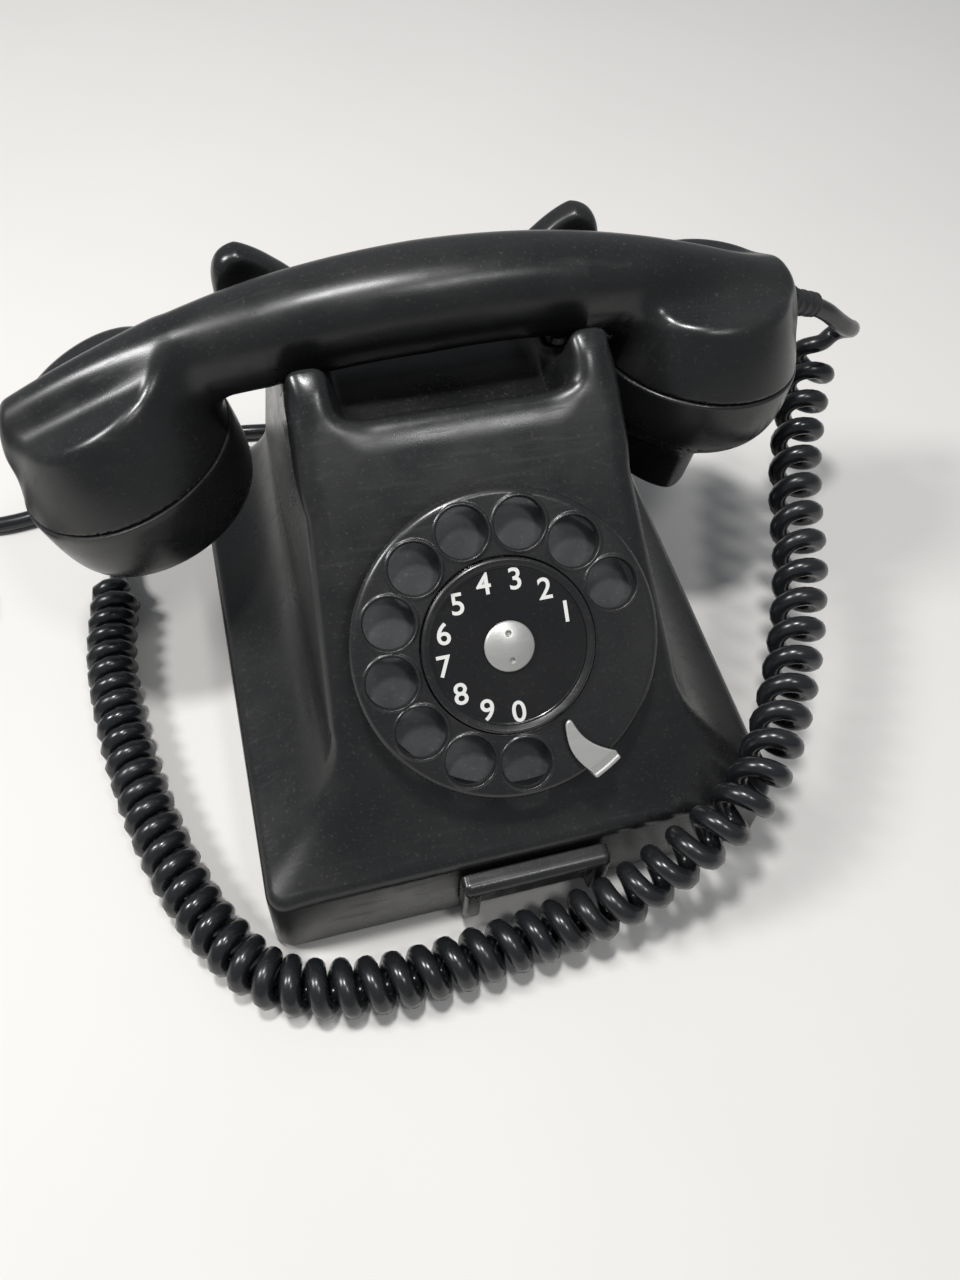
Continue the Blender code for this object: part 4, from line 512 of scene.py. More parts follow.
def worn_material(name):
    """Hard surface with dust, small marks and slightly rubbed edges, as FINISHES has it."""
    material, n, shader = new_material(name)
    if n is None:
        return material
    settings = bpy.context.scene.phone_finish
    base, roughness, wear = FINISHES[name]
    base = (*(getattr(settings, base) if isinstance(base, str) else base), 1)
    roughness = getattr(settings, roughness) if isinstance(roughness, str) else roughness
    rubbed = (*wear.get("rubbed", [min(1, c * 3.2 + 0.012) for c in base[:3]]), 1)
    group = n.add("ShaderNodeGroup", node_tree=worn_group())
    for socket, value in (("Dust Amount", wear["dust"]), ("Mark Size", wear.get("marks", 900.0)),
                          ("Edge Rub", wear["edge"])):
        group.inputs[socket].default_value = value
    plain = n.blend(group.outputs["Rub"], base, rubbed)
    n.link(n.blend(group.outputs["Dust"], plain, (*settings.dust, 1)), shader.inputs["Base Color"])
    rough = n.math("ADD", n.math("ADD", group.outputs["Gloss Change"], roughness),
                   n.math("MULTIPLY", group.outputs["Dust"], 0.5), clamp=True)
    n.link(rough, shader.inputs["Roughness"])
    shader.inputs["Metallic"].default_value = wear.get("metallic", 0.0)
    dent = n.add("ShaderNodeBump", {"Height": group.outputs["Height"], "Strength": wear["bump"],
                                    "Distance": 0.0006})
    n.link(dent.outputs[0], shader.inputs["Normal"])
    return material


# ------------------------------------------------------------------------- case

FLARE_POWER = 2.05
SADDLE_RADIUS = 0.0178
SADDLE_HEIGHT = 0.1232
TROUGH_HALF = 0.0305
TROUGH_FLOOR = 0.1005
PLUNGER_X = 0.0378
REAR_WALL_TOP = 0.0730       # rear wall at the ledge
REAR_WALL_FOOT = 0.0765      # rear wall above the flare
CRADLE_Y = 0.0423            # middle of the saddles and the plungers
TROUGH_Y = 0.0412
DIAL_BORE_RADIUS = 0.0371
FRONT_PRONG_TOP = 0.1246
FRONT_PRONG_SIDE = 0.0444    # outer face, from the middle
REAR_PRONG_TOP = 0.1268
REAR_PRONG_SIDE = 0.0582
REAR_PRONG_Y = 0.0722
CORD_HOLES = ((HANDSET_CORD_X, 0.0051), (LINE_CORD_X, 0.0049))
CORD_HOLE_HEIGHT = 0.019


def case_field(case, dial):
    """Distance field of the case, in the part's frame."""
    tan, sin, cos = (f(case.face_angle) for f in (math.tan, math.sin, math.cos))
    half_w, half_d, top = case.plinth_width / 2, case.plinth_depth / 2, case.plinth_top
    rise = case.neck_foot_height - top
    foot_half, neck_half = case.neck_foot_width / 2, case.neck_width / 2
    edge = case.edge_softness
    y0, z0 = dial.centre_y, dial.centre_height

    def flared(z, value, foot, above):
        s = np.clip((z - top) / rise, -0.6, 1.0)
        low = foot + (value - foot) * (1 - s) ** FLARE_POWER
        high = foot + (above - foot) * np.clip((z - case.neck_foot_height)
                                               / (case.ledge_height - case.neck_foot_height), 0, 1.2)
        return np.where(z < case.neck_foot_height, low, high)

    def field(x, y, z):
        ax = np.abs(x)
        grow = case.draft * np.clip((top - z) / (top - case.rim), 0, 1)
        wall = rounded_box(x, y, half_w + grow, half_d + grow, 0.006)
        lean = np.clip((case.neck_foot_height - z) / rise, 0, 1)
        flank = (ax - flared(z, half_w, foot_half, neck_half)) / np.sqrt(1 + (1.9 * lean) ** 2)
        rear = (y - flared(z, half_d, REAR_WALL_FOOT, REAR_WALL_TOP)) / np.sqrt(1 + (0.6 * lean) ** 2)
        face = (z - (case.ledge_height - (case.ledge_y - y) * tan)) * cos
        apron = (z - (top - 0.0002 + (y + half_d) * 0.36)) * 0.94
        front = soft_min(face, apron, 0.006)
        crown = soft_max(soft_max(flank, rear, 0.006), z - case.ledge_height, 0.0032)
        crown = soft_min(crown, front_prongs(ax, y, z), 0.0068)
        crown = soft_min(crown, rear_prongs(ax, y, z), 0.0050)
        body = soft_max(crown, front, case.ridge_softness)
        form = soft_max(wall, body, edge)
        saddle = np.hypot(y - CRADLE_Y, z - SADDLE_HEIGHT) - SADDLE_RADIUS
        form = soft_cut(form, saddle, 0.0022)
        trough = rounded_box(y - TROUGH_Y, z - TROUGH_FLOOR - 0.02, 0.0258, 0.02, 0.008)
        trough = soft_max(trough, ax - TROUGH_HALF, 0.003)
        form = soft_cut(form, trough, 0.0075)
        form = soft_max(form, case.rim - z, 0.0012)
        inner = soft_max(rounded_box(x, y, half_w - case.wall, half_d - case.wall, 0.006), z - 0.0142, 0.001)
        form = soft_cut(form, inner, 0.001)
        up_face = (y - y0) * cos + (z - z0) * sin
        out = (z - z0) * cos - (y - y0) * sin
        bore = soft_max(np.hypot(x, up_face) - DIAL_BORE_RADIUS, -out - 0.022, 0.0008)
        form = soft_cut(form, bore, 0.0008)
        well = np.maximum(np.hypot(ax - PLUNGER_X, y - CRADLE_Y) - 0.004, 0.0965 - z)
        form = soft_cut(form, well, 0.0008)
        for hole_x, radius in CORD_HOLES:
            hole = np.maximum(np.hypot(x - hole_x, z - CORD_HOLE_HEIGHT) - radius, 0.07 - y)
            form = soft_cut(form, hole, 0.0008)
        slot = np.maximum(rounded_box(x, z - 0.003, 0.0176, 0.0074, 0.0005), y + 0.075)
        return soft_cut(form, slot, 0.0006)

    def front_prongs(ax, y, z):
        inner = 0.0306 - 0.0085 * np.clip((0.1195 - z) / 0.015, 0, 1) ** 1.3
        lean_back = y - (0.0306 + (0.124 - z) * 0.12)
        prong = soft_max(soft_max(ax - FRONT_PRONG_SIDE, inner - ax, 0.0020), z - FRONT_PRONG_TOP, 0.0034)
        prong = soft_max(prong, lean_back, 0.0034)
        return soft_max(prong, 0.102 - z, 0.003)

    def rear_prongs(ax, y, z):
        inward = np.maximum(0.0500 - ax, 0)
        slant = (z - REAR_PRONG_TOP + 0.36 * inward + 24 * inward ** 2) * 0.88
        leaf = soft_max(ax - REAR_PRONG_SIDE + 0.10 * np.maximum(0.110 - z, 0), slant, 0.0095)
        leaf = soft_max(soft_max(leaf, 0.0330 - ax, 0.004), 0.086 - z, 0.004)
        ear = soft_max(leaf, np.abs(y - REAR_PRONG_Y - 0.10 * (z - 0.115)) - 0.0058, 0.0055)
        scoop = np.sqrt((ax - 0.0470) ** 2 + ((y - 0.0566) * 1.1) ** 2 + (z - 0.1215) ** 2) - 0.0130
        return soft_cut(ear, scoop, 0.003)

    return field


class PHONE_OT_case(bpy.types.Operator):
    """Skin the moulded case with its flare, prongs, trough and saddles"""
    bl_idname = "phone.case"
    bl_label = "Case"

    def execute(self, context):
        case, dial = context.scene.phone_case, context.scene.phone_dial
        low = (-case.plinth_width / 2 - 0.004, -case.plinth_depth / 2 - 0.004, 0.0)
        high = (case.plinth_width / 2 + 0.004, case.plinth_depth / 2 + 0.004, 0.130)
        mesh = skin("case", case_field(case, dial), low, high, case.mesh_step)
        add_piece("case_moulding", mesh, "base", "Black bakelite", ["housing"])
        return {"FINISHED"}


def pull_field(case):
    """Distance field of the tray pull: a hood between two end walls."""
    back = -case.plinth_depth / 2 - case.draft - 0.0003

    def field(x, y, z):
        outer = soft_max(rounded_box(y - back + 0.0002, z - 0.01875, 0.0058, 0.01125, 0.0030),
                         np.abs(x) - 0.022, 0.0022)
        outer = soft_max(outer, y - back, 0.0004)
        hollow = rounded_box(y - back + 0.0061, z - 0.0135, 0.0045, 0.0125, 0.002)
        room = soft_max(np.abs(x) - 0.0170, hollow, 0.0014)
        return soft_cut(outer, room, 0.0010)

    return field


class PHONE_OT_tray_pull(bpy.types.Operator):
    """Skin the hooded pull of the address tray"""
    bl_idname = "phone.tray_pull"
    bl_label = "Tray pull"

    def execute(self, context):
        case = context.scene.phone_case
        back = -case.plinth_depth / 2 - case.draft
        low, high = (-0.0235, back - 0.0075, 0.006), (0.0235, back + 0.0012, 0.0315)
        mesh = skin("tray_pull", pull_field(case), low, high, 0.0004)
        add_piece("tray_pull_hood", mesh, "base", "Black enamel", ["tray_pull"])
        return {"FINISHED"}


# ------------------------------------------------------------------------- dial

# Radius and depth of the grey disc's outline; its rim stands 39.2 mm out, to fill the finger holes.
DIAL_FLOOR_OUTLINE = ((0.0042, -0.0071), (0.0389, -0.0071), (0.0392, -0.0068), (0.0390, -0.0065),
                      (0.0042, -0.0065))


class PHONE_OT_finger_wheel(bpy.types.Operator):
    """Skin the finger wheel with its ten rimmed holes"""
    bl_idname = "phone.finger_wheel"
    bl_label = "Finger wheel"

    def execute(self, context):
        dial, case = context.scene.phone_dial, context.scene.phone_case
        radius, thick = dial.wheel_radius, dial.wheel_thickness
        holes = [dial.first_hole + i * dial.hole_step for i in range(dial.hole_count)]
        centres = [(dial.ring_radius * math.cos(a), dial.ring_radius * math.sin(a)) for a in holes]
        recess = dial.label_radius + 0.0003

        def field(x, y, z):
            r = np.hypot(x, y)
            rim_drop = 0.0010 * np.clip((r - radius + 0.0020) / 0.0020, 0, 1) ** 2
            skirt = 0.0007 * np.clip(-z / thick, 0, 1)
            plate = soft_max(r - radius - skirt, np.abs(z + thick / 2) - thick / 2 + rim_drop, 0.0009)
            near = np.full(np.broadcast(x, y, z).shape, 1.0)
            for cx, cy in centres:
                near = np.minimum(near, np.hypot(x - cx, y - cy))
            lip = np.abs(near - dial.hole_radius - 0.00042) - 0.00046
            lip = soft_max(lip, np.abs(z - 0.0001) - 0.00032, 0.0005)
            plate = soft_min(plate, lip, 0.0006)
            plate = soft_cut(plate, near - dial.hole_radius, 0.0009)
            well = np.maximum(r - recess, -z - 0.0015)
            plate = soft_cut(plate, well, 0.0004)
            return soft_cut(plate, r - 0.0031, 0.0003)

        reach = radius + 0.001
        low, high = (-reach, -reach, -thick - 0.001), (reach, reach, 0.0012)
        mesh = skin("finger_wheel", field, low, high, dial.mesh_step)
        add_piece("dial_wheel", mesh, "dial", "Black enamel", ["finger_wheel"],
                  dial_matrix(dial, case))
        return {"FINISHED"}


class PHONE_OT_dial_label(bpy.types.Operator):
    """Make the digit disc, its rings and the ten printed digits"""
    bl_idname = "phone.dial_label"
    bl_label = "Digit disc"

    def execute(self, context):
        dial, case = context.scene.phone_dial, context.scene.phone_case
        matrix = dial_matrix(dial, case)
        outer = dial.label_radius
        disc = rounded_profile([(0.0031, -0.0012), (outer, -0.0012), (outer, 0.0), (outer - 0.0024, 0.0),
                                (outer - 0.0027, -0.0002), (0.0031, -0.0002)], 0.00015)
        add_piece("digit_disc", turned("digit_disc", disc, 128), "dial", "Label lacquer", ["dial_label"],
                  matrix)
        ring = rounded_profile([(outer - 0.0022, 0.0003), (outer, 0.0003), (outer, 0.0009),
                                (outer - 0.0007, 0.0013), (outer - 0.0022, 0.0006)], 0.0002)
        add_piece("digit_disc_ring", turned("digit_disc_ring", ring, 128), "dial", "Black enamel",
                  ["label_ring"], matrix)
        for i in range(dial.hole_count):
            turn = dial.first_hole + i * dial.hole_step
            self.digit(str((i + 1) % 10), turn, dial, matrix)
        return {"FINISHED"}

    def digit(self, text, turn, dial, matrix):
        curve = bpy.data.curves.new(f"digit_{text}", "FONT")
        curve.body = text
        curve.align_x = "CENTER"
        curve.align_y = "CENTER"
        curve.size = dial.digit_height / 0.72
        curve.extrude = 0.00005
        curve.offset = dial.digit_height * 0.016
        curve.resolution_u = 6
        writing = linked(f"digit_{text}_text", curve)
        bpy.context.view_layer.update()
        mesh = bpy.data.meshes.new_from_object(writing.evaluated_get(bpy.context.evaluated_depsgraph_get()))
        bpy.data.objects.remove(writing)
        x = [v.co.x for v in mesh.vertices]
        y = [v.co.y for v in mesh.vertices]
        mesh.transform(Matrix.Translation((-(min(x) + max(x)) / 2, -(min(y) + max(y)) / 2, 0)))
        place = Matrix.Translation((dial.digit_radius * math.cos(turn), dial.digit_radius * math.sin(turn),
                                    -0.00013))
        add_piece(f"digit_{text}", mesh, "dial", "Digit paint", (), matrix @ place)


class PHONE_OT_dial_metal(bpy.types.Operator):
    """Make the centre nut and the bent finger stop"""
    bl_idname = "phone.dial_metal"
    bl_label = "Nut and finger stop"

    def execute(self, context):
        dial, case = context.scene.phone_dial, context.scene.phone_case
        matrix = dial_matrix(dial, case)
        self.nut(dial, matrix)
        self.stop(dial, matrix)
        floor = turned("dial_floor", DIAL_FLOOR_OUTLINE, 128)
        add_piece("dial_floor", floor, "base", "Grey plate", ["dial_back_disc"], matrix)
        return {"FINISHED"}

    def nut(self, dial, matrix):
        radius = dial.cap_radius

        def field(x, y, z):
            r = np.hypot(x, y)
            dome = np.sqrt(r ** 2 + (z + 0.0125) ** 2) - 0.0149
            nut = soft_max(soft_max(dome, r - radius, 0.0008), -z + 0.0003, 0.0003)
            for side in (-1, 1):
                pit = np.maximum(np.hypot(x, y - side * 0.0036) - 0.00072, 0.0011 - z)
                nut = soft_cut(nut, pit, 0.0003)
            return nut

        mesh = skin("centre_nut", field, (-0.008, -0.008, -0.0004), (0.008, 0.008, 0.0032), 0.00018)
        add_piece("centre_nut", mesh, "dial", "Dull nickel", ["centre_cap"], matrix)

    def stop(self, dial, matrix):
        turn = dial.stop_angle
        rim = dial.wheel_radius + 0.0010
        low, thick = 0.0016, 0.0011

        def field(x, y, z):
            u = x * math.cos(turn) + y * math.sin(turn)
            v = -x * math.sin(turn) + y * math.cos(turn)
            r = np.hypot(u, v)
            spread = np.clip((r - 0.0256) / 0.0160, 0, 1)
            bow = 0.0021 * np.sin(math.pi * spread)
            high_edge = v - (0.0006 + 0.0043 * spread - bow)
            low_edge = -v - (0.0012 + 0.0028 * spread + bow)
            tip = 0.0256 - r
            blade = soft_max(soft_max(high_edge, low_edge, 0.0012), tip, 0.0014)
            bend = np.clip((r - rim + 0.0028) / 0.0028, 0, 1)
            level = low + thick / 2 - 0.0010 * bend ** 2
            flat = soft_max(np.abs(z - level) - thick / 2, r - rim - thick, 0.0005)
            upright = np.maximum(z - low - thick * 0.6, -z - 0.0112)
            leg = soft_max(np.abs(r - rim - thick / 2) - thick / 2, upright, 0.0005)
            return soft_max(soft_min(flat, leg, 0.0008), blade, 0.0005)

        mesh = skin("finger_stop", field, (0.006, -0.047, -0.013), (0.034, -0.018, 0.004), 0.00032)
        add_piece("finger_stop_blade", mesh, "base", "Dull nickel", ["finger_stop"], matrix)


# ---------------------------------------------------------------------- handset

GRIP_STATIONS = (0, 0.045, 0.065, 0.080, 0.095, 0.108, 0.122)
GRIP_HALF_WIDTHS = (0.0147, 0.0133, 0.0110, 0.0092, 0.0076, 0.0066, 0.0058)
GRIP_HALF_HEIGHTS = (0.01425, 0.0138, 0.0128, 0.0115, 0.0100, 0.0085, 0.0075)
BOOT_ROOT = Vector((0.1138, 0.0458, 0.1034))
BOOT_AHEAD = Vector((0.90, 0.14, -0.38)).normalized()


def handset_matrix(h):
    """Lean of the handset in its cradle."""
    pivot = Vector((0, h.handle_y, h.roll_height))
    return Matrix.Translation(pivot) @ Matrix.Rotation(h.roll, 4, "X") @ Matrix.Translation(-pivot)


def handset_field(h):
    """Distance field of the handset shell: a grip that runs out over two tapered cups with flat tops."""
    cups = ((h.ear_x, h.ear_seam, h.ear_tilt, h.ear_floor, 0.42, -0.12, -1),
            (h.mouth_x, h.mouth_seam, h.mouth_tilt, h.mouth_floor, 0.0, 0.07, 1))
    back = handset_matrix(h).inverted()
    root, ahead = back @ BOOT_ROOT, back.to_3x3() @ BOOT_AHEAD

    def grip(x, y, z):
        top = h.top - (h.arch - np.sqrt(np.maximum(h.arch ** 2 - x * x, 1e-9))) + h.rise * x
        width = np.interp(np.abs(x + 0.003), GRIP_STATIONS, GRIP_HALF_WIDTHS)
        height = np.interp(np.abs(x + 0.003), GRIP_STATIONS, GRIP_HALF_HEIGHTS)
        across, rise = np.abs(y - h.handle_y) / width, np.abs(z - top + height) / height
        radial = (across ** 2.3 + rise ** 2.3 + 1e-12) ** (1 / 2.3)
        return (radial - 1) * np.minimum(width, height)

    def field(x, y, z):
        form = grip(x, y, z)
        cut = form * 0 - 1
        hollow = form * 0 + 1
        for cup_x, seam, tilt, floor_z, floor_slope, lean, side in cups:
            dx, dz = x - cup_x, z - seam
            u = dx * math.cos(tilt) - dz * math.sin(tilt)
            w = dx * math.sin(tilt) + dz * math.cos(tilt)
            up = np.maximum(w, 0)
            reach = h.cup_radius - 0.24 * up - 5.0 * up * up
            wall = (np.hypot(u + lean * up, y - h.handle_y) - reach) * 0.95
            floor = (z - floor_z - floor_slope * dx) / math.sqrt(1 + floor_slope ** 2)
            drum = soft_max(soft_max(wall, floor, 0.0030), -w - 0.004, 0.0001)
            form = soft_min(form, drum, 0.0078)
            form = soft_max(form, (np.maximum(u * side, 0) - reach - 0.0004) * 0.95, 0.0026)
            across = np.hypot(u, y - h.handle_y)
            cut = np.maximum(cut, -np.maximum(w, across - 0.042))
            hollow = np.minimum(hollow, np.maximum(across - 0.0275, w - 0.006))
        form = soft_max(form, cut, 0.0010)
        form = np.maximum(form, -hollow)
        along = np.clip((x - root.x) * ahead.x + (y - root.y) * ahead.y + (z - root.z) * ahead.z, -0.002, 0.02)
        socket = np.sqrt((x - root.x - ahead.x * along) ** 2 + (y - root.y - ahead.y * along) ** 2
                         + (z - root.z - ahead.z * along) ** 2) - 0.0055
        return soft_cut(form, socket, 0.0008)

    return field


class PHONE_OT_handset(bpy.types.Operator):
    """Skin the handset shell"""
    bl_idname = "phone.handset"
    bl_label = "Handset shell"

    def execute(self, context):
        h = context.scene.phone_handset
        mesh = skin("handset", handset_field(h), (-0.128, 0.008, 0.074), (0.124, 0.077, 0.141), h.mesh_step)
        add_piece("handset_moulding", mesh, "handset", "Black bakelite", ["handset_shell"],
                  handset_matrix(h))
        return {"FINISHED"}


EAR_CAP_DEPTH = 0.0225


def cap_outline(radius, depth, wall=0.0026):
    """Outline of a screwed cap below its cup: rim, tapered wall and dished face."""
    rim = radius + 0.0004
    outer = [(rim, -0.0009), (rim * 1.002, -0.0030), (rim * 0.992, -depth * 0.45), (rim * 0.965, -depth * 0.74),
             (rim * 0.918, -depth * 0.93), (rim * 0.860, -depth)]
    outer = smooth_line(outer, 22).tolist()
    face = smooth_line([(rim * 0.82, -depth), (rim * 0.60, -depth + 0.0022), (rim * 0.30, -depth + 0.0040),
                        (0.0, -depth + 0.0045)], 10).tolist()
    inside = [(0.0, -depth + 0.0045 + wall), (rim * 0.40, -depth + 0.0042 + wall), (rim * 0.80, -depth + wall),
              (rim * 0.88, -depth * 0.7), (rim - wall, -0.0003), (rim - 0.0007, -0.0003),
              (rim - 0.0001, -0.0005)]
    return [tuple(p) for p in outer + face + inside]


class PHONE_OT_caps(bpy.types.Operator):
    """Make the ear cap with its sound holes and the mouth cap with its horn"""
    bl_idname = "phone.caps"
    bl_label = "Ear and mouth caps"

    def execute(self, context):
        h = context.scene.phone_handset
        lean = handset_matrix(h)
        seat = (lean @ Matrix.Translation((h.ear_x, h.handle_y, h.ear_seam))
                @ Matrix.Rotation(h.ear_tilt, 4, "Y"))
        mesh = turned("ear_cap", cap_outline(h.cup_radius, EAR_CAP_DEPTH), 128)
        ear = add_piece("ear_cap_moulding", mesh, "handset", "Black bakelite", ["ear_cap"], seat)
        self.sound_holes(ear, EAR_CAP_DEPTH)
        seat = (lean @ Matrix.Translation((h.mouth_x, h.handle_y, h.mouth_seam))
                @ Matrix.Rotation(h.mouth_tilt, 4, "Y"))
        mesh = skin("mouth_cap", self.mouth_field(h), (-0.034, -0.034, -0.041), (0.034, 0.034, 0.0006), 0.0008)
        add_piece("mouth_cap_moulding", mesh, "handset", "Black bakelite", ["mouth_cap"], seat)
        return {"FINISHED"}

    def sound_holes(self, cap, depth):
        """Six holes round the middle of the ear cap, cut by an exact Boolean and applied."""
        bm = bmesh.new()
        for i in range(6):
            x, y = 0.0075 * math.cos(i * math.pi / 3), 0.0075 * math.sin(i * math.pi / 3)
            bmesh.ops.create_cone(bm, cap_ends=True, segments=20, radius1=0.0016, radius2=0.0016, depth=0.02,
                                  matrix=Matrix.Translation((x, y, -depth)))
        mesh = bpy.data.meshes.new("sound_hole_tools")
        bm.to_mesh(mesh)
        bm.free()
        tool = linked("sound_hole_tools", mesh)
        tool.matrix_world = cap.matrix_world
        bpy.context.view_layer.update()
        cut = cap.modifiers.new("Sound holes", "BOOLEAN")
        cut.operation, cut.object, cut.solver = "DIFFERENCE", tool, "EXACT"
        cut.use_self = True
        depsgraph = bpy.context.evaluated_depsgraph_get()
        made = bpy.data.meshes.new_from_object(cap.evaluated_get(depsgraph))
        cap.modifiers.clear()
        cap.data = made
        made.shade_smooth()
        made.set_sharp_from_angle(angle=math.radians(40))
        bpy.data.objects.remove(tool)

    def mouth_field(self, h):
        depth, rim = 0.0235, h.cup_radius + 0.0004

        def field(x, y, z):
            r = np.hypot(x, y)
            down = np.clip(-z, 0, 0.06)
            bulge = (r / rim) ** 4 + (down / (depth * 1.10)) ** 4
            outer = (bulge ** 0.25 - 1) * depth
            outer = soft_max(outer, -z - depth, 0.003)
            horn_x, horn_z = x + 0.0068, -z
            taper = 1 - 0.12 * np.clip((horn_z - depth + 0.003) / 0.019, -0.4, 1.3)
            horn = (np.abs(horn_x / 0.0172) ** 1.55 + np.abs(y / 0.0252) ** 1.55 + 1e-9) ** (1 / 1.55)
            horn = (horn - taper) * 0.0150
            horn = soft_max(horn, horn_z - depth - 0.0172, 0.0012)
            horn = np.maximum(horn, depth - 0.008 - horn_z)
            form = soft_min(outer, horn, 0.0028)
            mouth = (np.sqrt((horn_x / 0.0112) ** 2 + (y / 0.0165) ** 2 + 1e-9) - 1) * 0.0112
            mouth = np.maximum(mouth, depth - 0.0070 - horn_z)
            form = soft_cut(form, mouth, 0.0012)
            room = np.maximum(r - rim + 0.0030, down - depth + 0.0050)
            form = soft_cut(form, room, 0.0006)
            return soft_max(form, z + 0.0003, 0.0009)

        return field


# ------------------------------------------------------------------------ cords

TABLE_GAP = 0.0004           # under a cord that lies on the table
CURLY_REST = CURL_DIAMETER / 2 + TABLE_GAP
LEAD_REST = WIRE_DIAMETER / 2 + TABLE_GAP
LINE_REST = LINE_DIAMETER / 2 + TABLE_GAP
GLAND_START = 0.0853         # the case's rear wall
GLAND_END = 0.0933           # where both glands end behind the case
CURLY_ROUTE = [
    (-0.112, 0.056, CURLY_REST), (-0.116, 0.024, CURLY_REST), (-0.114, -0.006, CURLY_REST),
    (-0.109, -0.034, CURLY_REST), (-0.102, -0.058, CURLY_REST), (-0.093, -0.078, CURLY_REST),
    (-0.080, -0.095, CURLY_REST), (-0.062, -0.1025, CURLY_REST), (-0.042, -0.1045, CURLY_REST),
    (-0.020, -0.1035, CURLY_REST + 0.0003), (0.000, -0.1020, 0.0112), (0.016, -0.1010, 0.0158),
    (0.028, -0.0992, 0.0226), (0.0385, -0.0966, 0.0296), (0.0475, -0.0940, 0.0358),
    (0.0555, -0.0908, 0.0400), (0.0630, -0.0862, 0.0424), (0.0704, -0.0796, 0.0438),
    (0.0778, -0.0712, 0.0440), (0.0846, -0.0620, 0.0438), (0.0908, -0.0525, 0.0440),
    (0.0970, -0.0420, 0.0446), (0.1036, -0.0290, 0.0457), (0.110, -0.0150, 0.0470), (0.117, 0.0050, 0.0488),
    (0.125, 0.0250, 0.0515), (0.134, 0.0430, 0.0555), (0.142, 0.0565, 0.0605), (0.1475, 0.0640, 0.0660),
]
UPPER_LEAD = [
    (0.1502, 0.0650, 0.0695), (0.1530, 0.0612, 0.0725), (0.1525, 0.0568, 0.0765), (0.1468, 0.0528, 0.0815),
    (0.1402, 0.0505, 0.0872), (0.1336, 0.0490, 0.0930), (0.1262, 0.0478, 0.0979),
]
LOWER_LEAD = [
    (HANDSET_CORD_X, GLAND_END - 0.001, CORD_HOLE_HEIGHT),
    (HANDSET_CORD_X, GLAND_END + 0.006, 0.0182), (-0.065, 0.1085, 0.0110),
    (-0.080, 0.1105, 0.0050), (-0.094, 0.1050, LEAD_REST), (-0.1050, 0.0930, LEAD_REST),
    (-0.1105, 0.0780, 0.0048), (-0.1112, 0.0690, 0.0060),
]
LINE_ROUTE = [
    (LINE_CORD_X, GLAND_END - 0.001, CORD_HOLE_HEIGHT),
    (LINE_CORD_X, GLAND_END + 0.008, 0.0172), (-0.032, 0.1175, 0.0095),
    (-0.047, 0.1240, 0.0040), (-0.066, 0.1265, LINE_REST), (-0.090, 0.1225, LINE_REST),
    (-0.113, 0.1110, LINE_REST), (-0.132, 0.1015, LINE_REST), (-0.150, 0.0980, LINE_REST),
    (-0.164, 0.0990, LINE_REST), (-0.185, 0.1003, 0.0042),
]
COIL_Y = 0.0945 - 0.032


def handset_cord_line(cords):
    """Centreline of the whole handset cord: lead, curls, lead."""
    spine = smooth_line(CURLY_ROUTE, 900)
    across, up = frames_along(spine)
    along = np.linspace(0, 1, cords.turns * 14 + 1)
    at = along * (len(spine) - 1)
    pick = [np.stack([np.interp(at, range(len(spine)), array[:, i]) for i in range(3)], 1)
            for array in (spine, across, up)]
    ease = np.clip(np.minimum(along, 1 - along) / (0.55 / cords.turns), 0, 1)
    radius = (cords.curl - cords.wire) / 2 * (0.35 + 0.65 * ease)
    tightness = 1 + 0.28 * np.cos(math.pi * along)
    phase = np.cumsum(tightness) / tightness.sum() * 2 * math.pi * cords.turns
    curls = pick[0] + radius[:, None] * (np.cos(phase)[:, None] * pick[1] + np.sin(phase)[:, None] * pick[2])
    lower = smooth_line([*LOWER_LEAD, curls[0]], 40)[:-1]
    upper = smooth_line([curls[-1], *UPPER_LEAD], 30)[1:]
    line = np.vstack([lower, curls, upper])
    for _ in range(2):
        line[1:-1] = line[1:-1] * 0.6 + (line[:-2] + line[2:]) * 0.2
    place = np.arange(len(line))
    near = np.minimum(np.abs(place - len(lower)), np.abs(place - len(lower) - len(curls) + 1))
    soften = (np.clip(1 - near / 9, 0, 1) * 0.6)[1:-1, None]
    for _ in range(16):
        line[1:-1] += soften * ((line[:-2] + line[2:]) / 2 - line[1:-1])
    line[:, 2] = np.maximum(line[:, 2], LEAD_REST - 0.0002)
    return line


class PHONE_OT_handset_cord(bpy.types.Operator):
    """Wind the curly handset cord from the case to the handset"""
    bl_idname = "phone.handset_cord"
    bl_label = "Handset cord"

    def execute(self, context):
        cords = context.scene.phone_cords
        line = handset_cord_line(cords)
        mesh = tube("handset_cord", line, cords.wire / 2, cords.tube_sides)
        cord = add_piece("handset_cord", mesh, None, "Cord sheath", [])
        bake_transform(cord)
        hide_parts("curly_cord", "curly_cord_base_lead", "curly_cord_handset_lead")
        return {"FINISHED"}


